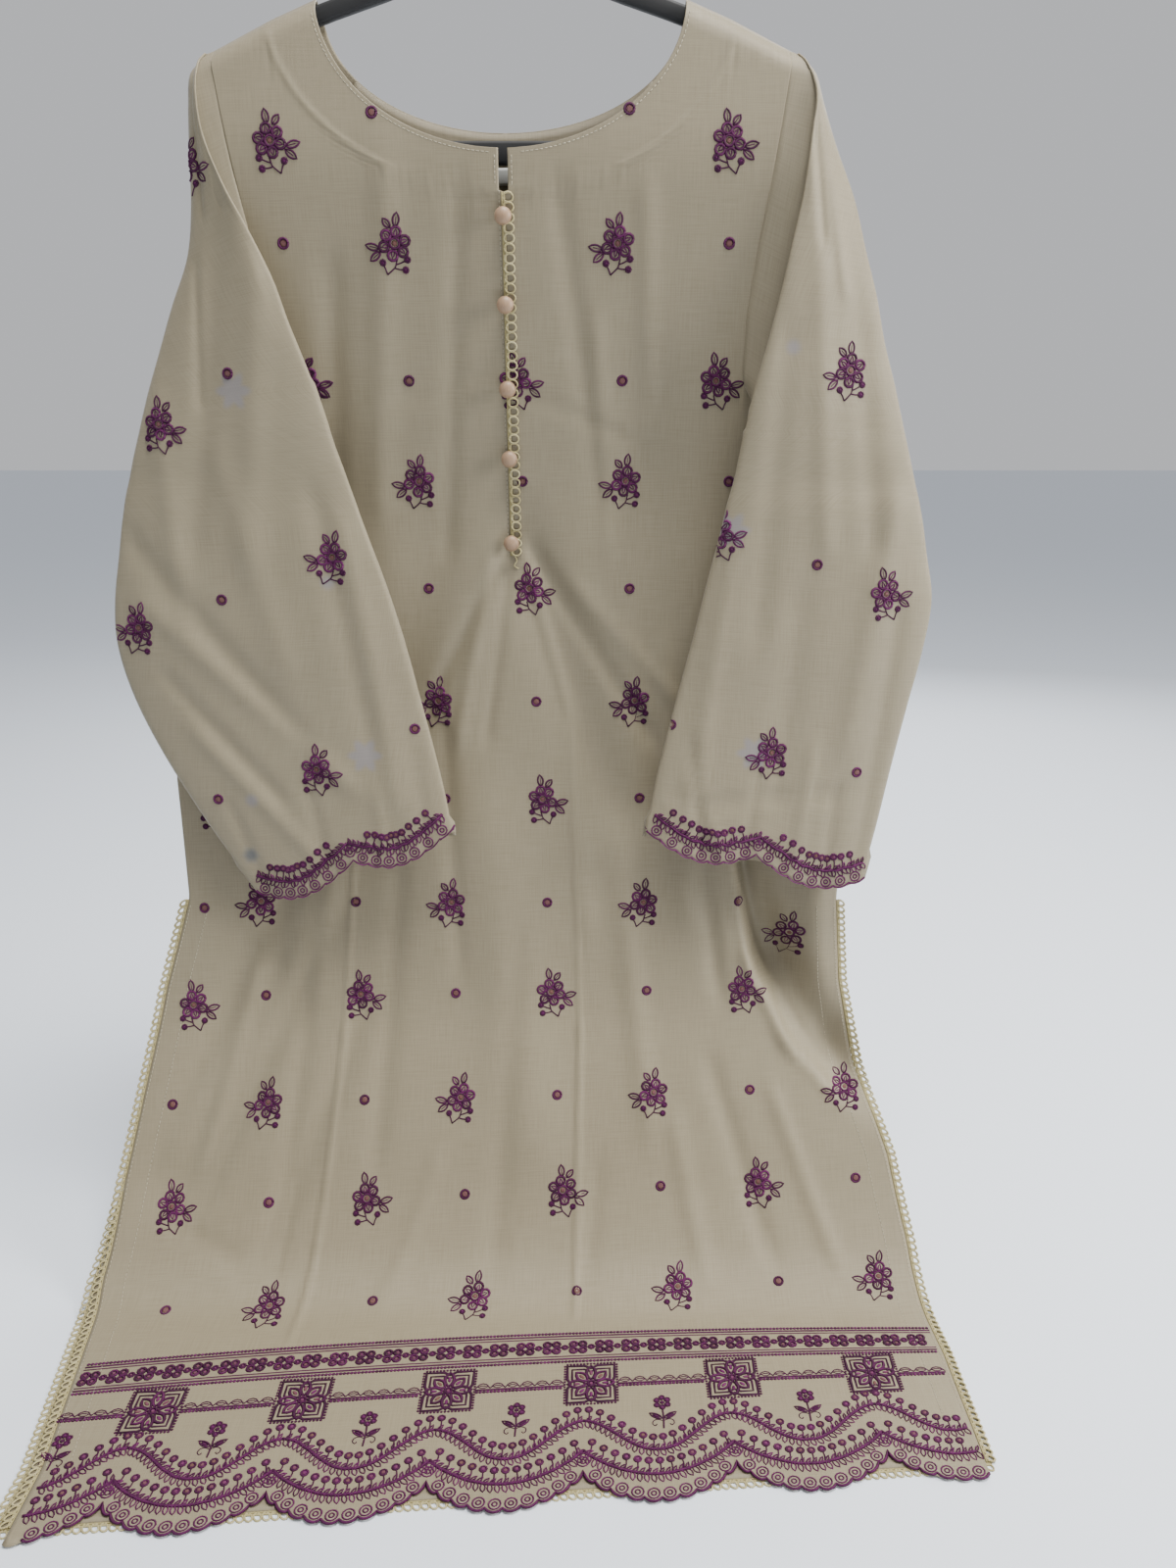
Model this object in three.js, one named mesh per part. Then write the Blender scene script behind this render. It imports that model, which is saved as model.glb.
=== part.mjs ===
// An embroidered kameez (long tunic) on a clothes hanger. It hangs from the hanger's hook, and its lower part
// sweeps forward and lies on a table. Millimetres, +Z up, the front of the garment faces -Y.
// The origin is the top of the hook's bend, where a rail would carry it.
import * as THREE from 'three';
import { mergeVertices } from 'three/addons/utils/BufferGeometryUtils.js';

// ---- driving dimensions -------------------------------------------------------------------------------------
const WALL = 1.0;              // thickness of every cloth and lace wall
const GAP = 0.3;               // clearance at every seam and between pieces that touch
const TABLE = -949;            // height of the table that the hem lies on
const NECK_HALF = 115;         // half the width of the neck opening
const FRONT_NECK_DEPTH = 86;   // neck corner to the lowest point of the front neck
const BACK_NECK_DEPTH = 70;    // the same at the back
const KEYHOLE_HALF = 3;        // half the width of the open keyhole slit
const KEYHOLE_END = 110;       // cloth distance from the neck corners to the keyhole's lower end
const LACE_WIDE = 8;           // loop lace of the side slits and of the back hem
const LACE_GAP = 0.5;          // clearance between a panel's edge and the lace beside it
const PLACKET_LACE = 6;        // loop lace beside the placket slit
const BUTTON_RADIUS = 5.75;
const BUTTON_THICK = 7.5;
const BUTTON_DOWN = [125, 178, 231, 277, 336];   // cloth distance from the neck corners to each button
const SCALLOP_PITCH = 92.5;    // one large scallop of the front hem
const SCALLOP_DEPTH = 22;
const SCALLOP_VALLEY_X = 51;   // one of the points between two scallops
const HEM_FRONT = 1039;        // cloth distance to the points between the front scallops
const HEM_BACK = 1050;         // cloth distance to the straight back hem
const HANGER_THICK = 7;
const HANGER_BAR = 11;         // height of an arm of the hanger
const HOOK_WIRE = 2;           // radius of the hook's wire
const HOOK_BEND = 20;          // radius of the hook's bend, inside

// ---- small helpers ------------------------------------------------------------------------------------------
const lerp = THREE.MathUtils.lerp;
const clamp01 = (value) => Math.min(1, Math.max(0, value));
const ease = (value) => { const t = clamp01(value); return t * t * (3 - 2 * t); };
const at = (x, y, z) => new THREE.Vector3(x, y, z);

// Reads a column of a table whose rows are sorted by `key`, straight between rows.
function read(table, key, where, column) {
  if (where <= table[0][key]) return table[0][column];
  for (let i = 1; i < table.length; i += 1) {
    if (where <= table[i][key]) {
      const share = (where - table[i - 1][key]) / (table[i][key] - table[i - 1][key]);
      return lerp(table[i - 1][column], table[i][column], share);
    }
  }
  return table[table.length - 1][column];
}

// ---- the hang of the cloth ----------------------------------------------------------------------------------
// lean is the cloth's angle in degrees at a distance down the cloth: 0 hangs straight down, below 0 runs
// away from the front, and 90 lies flat on the table towards the front.
const HANG = [
  { down: 0, lean: 2 }, { down: 70, lean: 2 }, { down: 110, lean: -8 }, { down: 270, lean: -8 },
  { down: 330, lean: 2 }, { down: 440, lean: 3 }, { down: 520, lean: 7 }, { down: 600, lean: 9 },
  { down: 660, lean: 13 }, { down: 705, lean: 24 }, { down: 800, lean: 28 }, { down: 855, lean: 40 },
  { down: 888, lean: 64 }, { down: 912, lean: 90 }, { down: 1200, lean: 90 },
];
const HANG_START_Y = -10;
const HANG_STEP = 1;
const MIDDLE_HEIGHT = TABLE + WALL + GAP / 2;    // height of the plane between back and front on the table

const hangLine = [];
{
  let y = HANG_START_Y;
  let z = 0;
  for (let down = 0; down <= 1200; down += HANG_STEP) {
    const lean = THREE.MathUtils.degToRad(read(HANG, 'down', down, 'lean'));
    hangLine.push({ y, z, lean });
    y -= Math.sin(lean) * HANG_STEP;
    z -= lean > Math.PI / 2 - 1e-6 ? 0 : Math.cos(lean) * HANG_STEP;
  }
  const drop = hangLine[hangLine.length - 1].z;
  for (const point of hangLine) point.z += MIDDLE_HEIGHT - drop;
}

// The swing turns the lower cloth on the table: a point on the left has run further than one on the right.
const SWING = [
  { down: 600, swing: 0 }, { down: 672, swing: 0.015 }, { down: 745, swing: 0.025 },
  { down: 815, swing: 0.04 }, { down: 888, swing: 0.05 }, { down: 970, swing: 0.07 },
  { down: 1040, swing: 0.08 },
];
const SWING_CENTRE = 15;

// The largest folds of the body, as troughs (depth below 0 goes in) along a line from one place to another.
const FOLDS = [
  { x0: 172, s0: 560, x1: 196, s1: 640, wide: 15, depth: -13 },
  { x0: 196, s0: 640, x1: 236, s1: 712, wide: 16, depth: -12 },
  { x0: 236, s0: 712, x1: 266, s1: 750, wide: 14, depth: -5 },
  { x0: 226, s0: 590, x1: 228, s1: 690, wide: 13, depth: 5 },
  { x0: -190, s0: 620, x1: -255, s1: 790, wide: 22, depth: -6 },
  { x0: -60, s0: 350, x1: -110, s1: 560, wide: 24, depth: -5 },
  { x0: 12, s0: 345, x1: 70, s1: 520, wide: 20, depth: -6 },
  { x0: 95, s0: 250, x1: 110, s1: 520, wide: 22, depth: -5 },
  { x0: -20, s0: 560, x1: 10, s1: 760, wide: 26, depth: 4 },
];

function foldDepth(x, down) {
  let sum = 0;
  for (const fold of FOLDS) {
    const alongX = fold.x1 - fold.x0;
    const alongS = fold.s1 - fold.s0;
    const length = Math.hypot(alongX, alongS);
    const along = ((x - fold.x0) * alongX + (down - fold.s0) * alongS) / length;
    const across = ((x - fold.x0) * alongS - (down - fold.s0) * alongX) / length;
    const past = Math.max(0, -along, along - length);
    sum += fold.depth * Math.exp(-((across / fold.wide) ** 2) - ((past / (2 * fold.wide)) ** 2));
  }
  return sum * (1 - ease((down - 800) / 80));
}

// How far the back hangs behind the front, at the middle of the body.
const APART = [
  { down: 0, apart: 30 }, { down: 110, apart: 28 }, { down: 180, apart: 18 }, { down: 300, apart: 15 },
  { down: 600, apart: 14 }, { down: 750, apart: 9 }, { down: 840, apart: 4 }, { down: 890, apart: 0 },
];

// Outer edges of the body, left and right: armhole, side seam, slit edge. `down` is the cloth distance.
const EDGE = [
  { down: 30, left: -182, right: 182 }, { down: 66, left: -177, right: 177 },
  { down: 106, left: -171, right: 171 }, { down: 146, left: -165, right: 165 },
  { down: 186, left: -161, right: 160 }, { down: 226, left: -162, right: 160 },
  { down: 250, left: -178, right: 176 }, { down: 262, left: -202, right: 200 },
  { down: 267, left: -222, right: 222 }, { down: 335, left: -226, right: 226 },
  { down: 405, left: -234, right: 234 }, { down: 465, left: -245, right: 243 },
  { down: 505, left: -252, right: 248 }, { down: 600, left: -247, right: 241 },
  { down: 665, left: -266, right: 244 }, { down: 730, left: -278, right: 256 },
  { down: 800, left: -290, right: 277 }, { down: 865, left: -295, right: 287 },
  { down: 960, left: -280, right: 293 }, { down: 1012, left: -272, right: 293 },
];
const UNDERARM = 267;
const ARM_REACH = 236;         // half the width over which front and back part company above the underarm
const SLIT_TOP = 600;
const PLACKET_END = 342;

// A place on the inner face of the front's or the back's wall, x across and `down` along the cloth.
function bodyPoint(x, down, behind) {
  const swing = read(SWING, 'down', down, 'swing');
  const run = Math.max(0, down - swing * (x - SWING_CENTRE));
  const low = Math.floor(run);
  const share = run - low;
  const y = lerp(hangLine[low].y, hangLine[low + 1].y, share);
  const z = lerp(hangLine[low].z, hangLine[low + 1].z, share);
  const lean = lerp(hangLine[low].lean, hangLine[low + 1].lean, share);
  const edge = Math.abs(read(EDGE, 'down', down, x < 0 ? 'left' : 'right'));
  const across = clamp01(Math.abs(x) / (down < UNDERARM ? ARM_REACH : edge));
  const apart = read(APART, 'down', run, 'apart') * (1 - across ** 4);
  const fold = foldDepth(x, down);
  const out = behind ? fold * (fold < 0 ? 1.7 : 0.5) - apart - GAP / 2 : fold + GAP / 2;
  return at(x, y - Math.cos(lean) * out, z + Math.sin(lean) * out);
}

// Height of the shoulder seam over the hanger's arm, by distance from the middle.
const SHOULDER = [
  { x: 0, z: -60 }, { x: 66, z: -78 }, { x: 115, z: -93 }, { x: 143, z: -104 }, { x: 182, z: -122 },
];
// Near the shoulder seam the cloth rolls over the hanger's arm: 0 on the seam, 1 where it hangs free.
function rollOver(point, seamHeight) {
  const below = Math.max(0, seamHeight - point.z);
  const free = Math.sin(clamp01(below / 13) * Math.PI / 2) ** 0.8;
  return at(point.x, lerp(0, point.y, free), point.z);
}

// ---- cloth walls from a grid --------------------------------------------------------------------------------
// rows[r][c] are points of one face of the wall, and keep(r, c) tells which cells are cloth. Points that are
// the same object are one vertex. The wall grows by `thick` towards side * (down x across).
function clothWall(rows, side, keep = () => true, thick = WALL) {
  const ids = new Map();
  const face = [];
  const normals = [];
  const idOf = (point) => {
    if (!ids.has(point)) {
      ids.set(point, face.length);
      face.push(point);
      normals.push(at(0, 0, 0));
    }
    return ids.get(point);
  };
  const cells = [];
  for (let r = 0; r < rows.length - 1; r += 1) {
    for (let c = 0; c < rows[r].length - 1; c += 1) {
      if (keep(r, c)) {
        cells.push([rows[r][c], rows[r + 1][c], rows[r + 1][c + 1], rows[r][c + 1]].map(idOf));
      }
    }
  }
  const first = at(0, 0, 0);
  const second = at(0, 0, 0);
  for (const cell of cells) {
    first.subVectors(face[cell[2]], face[cell[0]]);
    second.subVectors(face[cell[3]], face[cell[1]]);
    const normal = at(0, 0, 0).crossVectors(first, second).multiplyScalar(side).normalize();
    for (const id of cell) normals[id].add(normal);
  }
  const count = face.length;
  const positions = [];
  for (const point of face) positions.push(point.x, point.y, point.z);
  face.forEach((point, id) => {
    const moved = normals[id].normalize().multiplyScalar(thick).add(point);
    positions.push(moved.x, moved.y, moved.z);
  });
  const triangles = [];
  const edges = new Map();
  const add = (a, b, c) => (side > 0 ? triangles.push(a, b, c) : triangles.push(a, c, b));
  for (const [a, b, c, d] of cells) {
    add(a + count, b + count, c + count);
    add(a + count, c + count, d + count);
    add(a, c, b);
    add(a, d, c);
    for (const [from, to] of [[a, b], [b, c], [c, d], [d, a]]) {
      if (!edges.delete(`${to}_${from}`)) edges.set(`${from}_${to}`, [from, to]);
    }
  }
  for (const [from, to] of edges.values()) {
    add(from, to, to + count);
    add(from, to + count, from + count);
  }
  const geometry = new THREE.BufferGeometry();
  geometry.setAttribute('position', new THREE.Float32BufferAttribute(positions, 3));
  geometry.setIndex(triangles);
  return geometry;
}

const garment = new THREE.Group();
function addPiece(name, geometry, color, roughness = 0.85, metalness = 0) {
  geometry.deleteAttribute('normal');
  geometry.deleteAttribute('uv');
  const mesh = new THREE.Mesh(geometry, new THREE.MeshStandardMaterial({ color, roughness, metalness }));
  mesh.name = name;
  garment.add(mesh);
  return mesh;
}
const LAWN = 0xcbbd9e;
const LACE = 0xe3dcb2;
const WOOD = 0xc59a72;
const BLACK = 0x15151a;

// ---- front and back panels ----------------------------------------------------------------------------------
const NECK_ROWS = [0, 0.05, 0.13, 0.27, 0.45, 0.65, 0.84, 1];     // shares of a quarter turn round the neck
const ARMHOLE_TOP = 28;
const ARMHOLE_LEVEL = 24;      // the armhole's place beside the neck's lowest point lies this much further down
// Rows below the neck's lowest point: cloth distance at the middle and at the outer edge.
const BODY_ROWS = [
  { inner: 108, outer: 130 }, { inner: 112, outer: 135 }, { inner: 150, outer: 170 },
  { inner: 190, outer: 208 }, { inner: 215, outer: 234 }, { inner: 235, outer: 252 },
  { inner: 250, outer: 262 }, { inner: 262, outer: 267 }, { inner: 300, outer: 300 },
  { inner: 342, outer: 342 }, { inner: 400, outer: 400 }, { inner: 455, outer: 455 },
  { inner: 505, outer: 505 }, { inner: 553, outer: 553 }, { inner: 600, outer: 600 },
  { inner: 640, outer: 640 }, { inner: 680, outer: 680 }, { inner: 720, outer: 720 },
  { inner: 760, outer: 760 }, { inner: 803, outer: 803 }, { inner: 838, outer: 838 },
  { inner: 862, outer: 862 }, { inner: 884, outer: 884 }, { inner: 905, outer: 905 },
  { inner: 960, outer: 960 }, { inner: 1012, outer: 1012 },
];

// One half of a panel as rows of points from the middle (neck edge or centre line) to the outer edge.
// Above the neck's lowest point each row runs from the neck edge to the armhole.
function halfPanel(sign, shape) {
  const side = sign < 0 ? 'left' : 'right';
  const rows = [];
  const addRow = (inner, outer, onSeam) => {
    const row = [];
    for (let c = 0; c <= shape.columns; c += 1) {
      const share = c / shape.columns;
      const x = lerp(inner.x, outer.x, share);
      const seam = read(SHOULDER, 'x', Math.abs(x), 'z');
      const hung = bodyPoint(x, lerp(inner.down, outer.down, share), shape.behind);
      row.push(onSeam ? at(x, shape.behind ? GAP / 2 : -GAP / 2, seam) : rollOver(hung, seam));
    }
    rows.push(row);
  };
  for (const share of NECK_ROWS) {
    const angle = share * Math.PI / 2;
    const x = sign * Math.max(shape.slitHalf, NECK_HALF * Math.cos(angle));
    const down = lerp(ARMHOLE_TOP, shape.neckDepth + ARMHOLE_LEVEL, share ** 0.9);
    addRow({ x, down: shape.neckDepth * Math.sin(angle) }, { x: shape.edge(down, side), down }, share === 0);
  }
  for (const { inner, outer } of BODY_ROWS) {
    const slit = inner >= PLACKET_END ? 0 : Math.min(shape.slitHalf, inner > KEYHOLE_END ? GAP / 2 : Infinity);
    addRow({ x: sign * slit, down: inner }, { x: shape.edge(outer, side), down: outer }, false);
  }
  const hemRow = [];
  for (let c = 0; c <= shape.columns; c += 1) {
    const x = shape.hemX(sign, c, side);
    hemRow.push(bodyPoint(x, shape.hem(x), shape.behind));
  }
  rows.push(hemRow);
  return rows;
}

// Joins the two halves into one grid of rows. Where the middle is whole, both halves share its points.
function joinHalves(left, right, isWhole) {
  return left.map((row, r) => {
    const mirrored = [...row].reverse();
    const other = [...right[r]];
    if (isWhole(r)) other[0] = mirrored[mirrored.length - 1];
    return [...mirrored, ...other];
  });
}

// The hem of the front: arcs that meet in points, with columns at each arc's ends, quarters and middle.
function scallopedHem(x) {
  const turns = (x - SCALLOP_VALLEY_X) / SCALLOP_PITCH;
  return HEM_FRONT + SCALLOP_DEPTH * Math.abs(Math.sin(Math.PI * turns)) ** 0.7;
}
const frontEdge = (down, side) => read(EDGE, 'down', down, side);
const backEdge = (down, side) => frontEdge(down, side) - (side === 'left' ? 7 * ease((down - 780) / 120) : 0);
const FRONT_COLUMNS = 12;
const BACK_COLUMNS = 8;
const frontShape = {
  columns: FRONT_COLUMNS,
  neckDepth: FRONT_NECK_DEPTH,
  slitHalf: KEYHOLE_HALF,
  behind: false,
  edge: frontEdge,
  hem: scallopedHem,
  hemX: (sign, c, side) => (c === FRONT_COLUMNS ? frontEdge(HEM_FRONT, side)
    : SCALLOP_VALLEY_X - SCALLOP_PITCH / 2 + sign * c * SCALLOP_PITCH / 4),
};
const backShape = {
  columns: BACK_COLUMNS,
  neckDepth: BACK_NECK_DEPTH,
  slitHalf: 0,
  behind: true,
  edge: backEdge,
  hem: () => HEM_BACK,
  hemX: (sign, c, side) => backEdge(HEM_BACK, side) * c / BACK_COLUMNS,
};
const isWholeFront = (r) => r >= NECK_ROWS.length && BODY_ROWS[r - NECK_ROWS.length]?.inner !== undefined
  ? BODY_ROWS[r - NECK_ROWS.length].inner >= PLACKET_END : r >= NECK_ROWS.length;
const isWholeBack = (r) => r >= NECK_ROWS.length - 1;
const frontRows = joinHalves(halfPanel(-1, frontShape), halfPanel(1, frontShape), isWholeFront);
const backRows = joinHalves(halfPanel(-1, backShape), halfPanel(1, backShape), isWholeBack);
addPiece('front_panel', clothWall(frontRows, 1, (r, c) => c !== FRONT_COLUMNS), LAWN);
addPiece('back_panel', clothWall(backRows, -1, (r, c) => c !== BACK_COLUMNS), LAWN);

// ---- what is sewn on the body -------------------------------------------------------------------------------
// Loop lace beyond the slit edges, in the same plane as its panel.
const LACE_ROWS = BODY_ROWS.filter((row) => row.outer >= SLIT_TOP).map((row) => row.outer);
for (const behind of [false, true]) {
  for (const sign of [-1, 1]) {
    const side = sign < 0 ? 'left' : 'right';
    const shape = behind ? backShape : frontShape;
    const hem = behind ? HEM_BACK : HEM_FRONT + 12;
    const rows = [...LACE_ROWS, hem].map((down) => {
      const edge = shape.edge(down, side);
      const inner = bodyPoint(edge + sign * LACE_GAP, down, behind);
      const outer = bodyPoint(edge + sign * (LACE_GAP + LACE_WIDE), down, behind);
      return sign < 0 ? [outer, inner] : [inner, outer];
    });
    addPiece(`slit_lace_${behind ? 'back' : 'front'}_${side}`, clothWall(rows, behind ? -1 : 1), LACE, 0.7);
  }
}

// Loop lace below the straight back hem, corner to corner.
{
  const left = backEdge(HEM_BACK, 'left') - GAP - LACE_WIDE;
  const right = backEdge(HEM_BACK, 'right') + GAP + LACE_WIDE;
  const rows = [HEM_BACK + GAP, HEM_BACK + GAP + LACE_WIDE].map((down) => {
    const row = [];
    for (let c = 0; c <= 2 * BACK_COLUMNS; c += 1) {
      row.push(bodyPoint(lerp(left, right, c / (2 * BACK_COLUMNS)), down, true));
    }
    return row;
  });
  addPiece('hem_lace_back', clothWall(rows, -1), LACE, 0.7);
}

// Moves a place on the front's inner face out past the wall, by `out` beyond its outer face.
function onFront(x, down, out) {
  const point = bodyPoint(x, down, false);
  const higher = bodyPoint(x, down - 1, false);
  const lower = bodyPoint(x, down + 1, false);
  const normal = at(0, -(higher.z - lower.z), higher.y - lower.y).normalize();
  return point.addScaledVector(normal, WALL + out);
}

// Loop lace beside the placket slit, on the front's own rows.
{
  const middle = FRONT_COLUMNS + 1;
  const rows = [];
  frontRows.forEach((row, r) => {
    const down = BODY_ROWS[r - NECK_ROWS.length]?.inner;
    if (down > KEYHOLE_END && down <= PLACKET_END) {
      const reach = Math.abs(row[middle + 1].x - row[middle].x);
      const place = (x) => {
        const point = row[middle].clone().lerp(row[middle + 1], x / reach);
        return at(point.x, point.y - WALL - 2 * GAP, point.z);
      };
      rows.push([place(1), place(1 + PLACKET_LACE)]);
    }
  });
  addPiece('placket_lace', clothWall(rows, 1), LACE, 0.7);
}

// Round buttons over the slit, each a squashed ball whose axis points out of the cloth.
BUTTON_DOWN.forEach((down, index) => {
  const profile = [];
  const steps = 8;
  for (let i = 0; i <= steps; i += 1) {
    const turn = -Math.PI / 2 + Math.PI * i / steps;
    const radius = i === 0 || i === steps ? 0 : BUTTON_RADIUS * Math.cos(turn);
    profile.push(new THREE.Vector2(radius, BUTTON_THICK / 2 * Math.sin(turn)));
  }
  const geometry = new THREE.LatheGeometry(profile, 14);
  geometry.deleteAttribute('normal');
  geometry.deleteAttribute('uv');
  const button = addPiece(`button_${index + 1}`, mergeVertices(geometry, 1e-4), WOOD, 0.5);
  button.position.copy(onFront(-0.5, down, 3 * GAP + WALL + BUTTON_THICK / 2 + 0.5));
});

// Back neck facing, inside the back, and the bare label on it.
function insideBack(x, down, into) {
  const point = rollOver(bodyPoint(x, down, true), read(SHOULDER, 'x', Math.abs(x), 'z'));
  return at(point.x, point.y - into, point.z);
}
{
  const columns = 12;
  const reach = 0.62;          // of a quarter turn each way from the middle of the neck
  const rows = [1, 12, 28].map((deep) => {
    const row = [];
    for (let c = 0; c <= columns; c += 1) {
      const angle = Math.PI / 2 * (1 + reach * (1 - 2 * c / columns));
      const x = -(NECK_HALF + deep * 0.6) * Math.cos(angle);
      row.push(insideBack(-x, (BACK_NECK_DEPTH + deep) * Math.sin(angle), GAP));
    }
    return row.reverse();
  });
  addPiece('neck_facing_back', clothWall(rows, -1), LAWN);
}
{
  const rows = [94, 106].map((down) => [-10, 10].map((x) => insideBack(x, down, 2 * GAP + WALL + 0.2)));
  addPiece('neck_label', clothWall(rows, 1, () => true, 0.6), 0xf2f2ee);
}

// ---- sleeves ------------------------------------------------------------------------------------------------
// Each row is one section round a sleeve, as a path: from the front end of the armhole seam (fx, fy, fz), out
// under the front layer to a hidden fold `tuck` beyond the inner fold, back to the inner fold (ix, iy, iz),
// over the front layer to the outer fold (ox, oy, oz), and behind to the other end of the seam (bx, by, bz).
// Below the armhole both ends meet in the underarm seam. puff swells the front layer, and back the other.
const SLEEVE_LEFT = [
  { fx: -183.4, fy: -1.5, fz: -122, tuck: 0, ix: -186, iy: -4, iz: -123.5,
    ox: -189, oy: 0, oz: -125, bx: -183.4, by: 1.5, bz: -122, puff: 0.5, back: 0.5 },
  { fx: -182.8, fy: -9, fz: -129, tuck: 1, ix: -189, iy: -11, iz: -131,
    ox: -197, oy: 0, oz: -135, bx: -182.8, by: 7, bz: -129, puff: 1, back: 2 },
  { fx: -180.2, fy: -12.6, fz: -144, tuck: 4, ix: -190, iy: -17.5, iz: -148,
    ox: -200, oy: 0, oz: -152, bx: -180.2, by: 9.5, bz: -144, puff: 1.5, back: 2 },
  { fx: -177.5, fy: -13.4, fz: -164, tuck: 8, ix: -187, iy: -19, iz: -172,
    ox: -201.5, oy: -2, oz: -180, bx: -177.5, by: 10, bz: -164, puff: 2, back: 2 },
  { fx: -173.5, fy: -13.6, fz: -188, tuck: 14, ix: -176, iy: -21, iz: -200,
    ox: -203, oy: -4, oz: -212, bx: -173.5, by: 9, bz: -188, puff: 2.5, back: 2 },
  { fx: -168.4, fy: -11, fz: -214, tuck: 18, ix: -162, iy: -22, iz: -226,
    ox: -208, oy: -6, oz: -242, bx: -169.2, by: 10.6, bz: -214, puff: 3, back: 2 },
  { fx: -164.4, fy: -7.5, fz: -242, tuck: 20, ix: -148, iy: -22.5, iz: -255,
    ox: -221, oy: -7, oz: -272, bx: -165.6, by: 12.2, bz: -242, puff: 4, back: 2 },
  { fx: -162.4, fy: -3.5, fz: -270, tuck: 14, ix: -138, iy: -22.5, iz: -284,
    ox: -232, oy: -8, oz: -300, bx: -163, by: 13.6, bz: -270, puff: 5, back: 1 },
  { fx: -163, fy: 0.5, fz: -302, tuck: 4, ix: -127, iy: -22, iz: -312,
    ox: -243, oy: -9, oz: -328, bx: -163.4, by: 17.2, bz: -302, puff: 5, back: 0 },
  { fx: -173.5, fy: 6, fz: -331, tuck: -10, ix: -118, iy: -21, iz: -340,
    ox: -251, oy: -10, oz: -352, bx: -174, by: 19.6, bz: -331.5, puff: 6, back: 0 },
  { fx: -194, fy: 7.5, fz: -347, tuck: -20, ix: -112, iy: -20, iz: -360,
    ox: -256, oy: -11, oz: -368, bx: -194, by: 18.4, bz: -347, puff: 6, back: 0 },
  { fx: -214, fy: 8.2, fz: -354.5, tuck: -30, ix: -106, iy: -19.5, iz: -376,
    ox: -260, oy: -11, oz: -382, bx: -214, by: 16, bz: -351.5, puff: 6, back: 0 },
  { fx: -225, fy: 7, fz: -358.5, tuck: -40, ix: -100, iy: -19, iz: -394,
    ox: -265, oy: -12, oz: -400, bx: -228, by: 7, bz: -357, puff: 6, back: 1 },
  { fx: -214, fy: -6, fz: -388, tuck: -50, ix: -90, iy: -19, iz: -424,
    ox: -272, oy: -12, oz: -432, bx: -214.5, by: -6, bz: -388, puff: 7, back: 3 },
  { fx: -196, fy: -9, fz: -424, tuck: -50, ix: -80, iy: -19, iz: -454,
    ox: -279, oy: -13, oz: -466, bx: -196.5, by: -9, bz: -424, puff: 7, back: 4 },
  { fx: -172, fy: -10, fz: -466, tuck: -44, ix: -70, iy: -20, iz: -490,
    ox: -280, oy: -14, oz: -497, bx: -172.5, by: -10, bz: -466, puff: 7, back: 4 },
  { fx: -148, fy: -12, fz: -508, tuck: -36, ix: -61, iy: -21, iz: -530,
    ox: -271, oy: -16, oz: -534, bx: -148.5, by: -12, bz: -508, puff: 6, back: 4 },
  { fx: -122, fy: -15, fz: -552, tuck: -28, ix: -52, iy: -24, iz: -570,
    ox: -252, oy: -19, oz: -577, bx: -122.5, by: -15, bz: -552, puff: 5, back: 4 },
  { fx: -100, fy: -19, fz: -594, tuck: -20, ix: -45, iy: -27, iz: -606,
    ox: -222, oy: -23, oz: -630, bx: -100.5, by: -19, bz: -594, puff: 5, back: 4 },
  { fx: -84, fy: -22, fz: -636, tuck: -14, ix: -42, iy: -30, iz: -631,
    ox: -190, oy: -27, oz: -682, bx: -84.5, by: -22, bz: -636, puff: 5, back: 4 },
];
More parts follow.
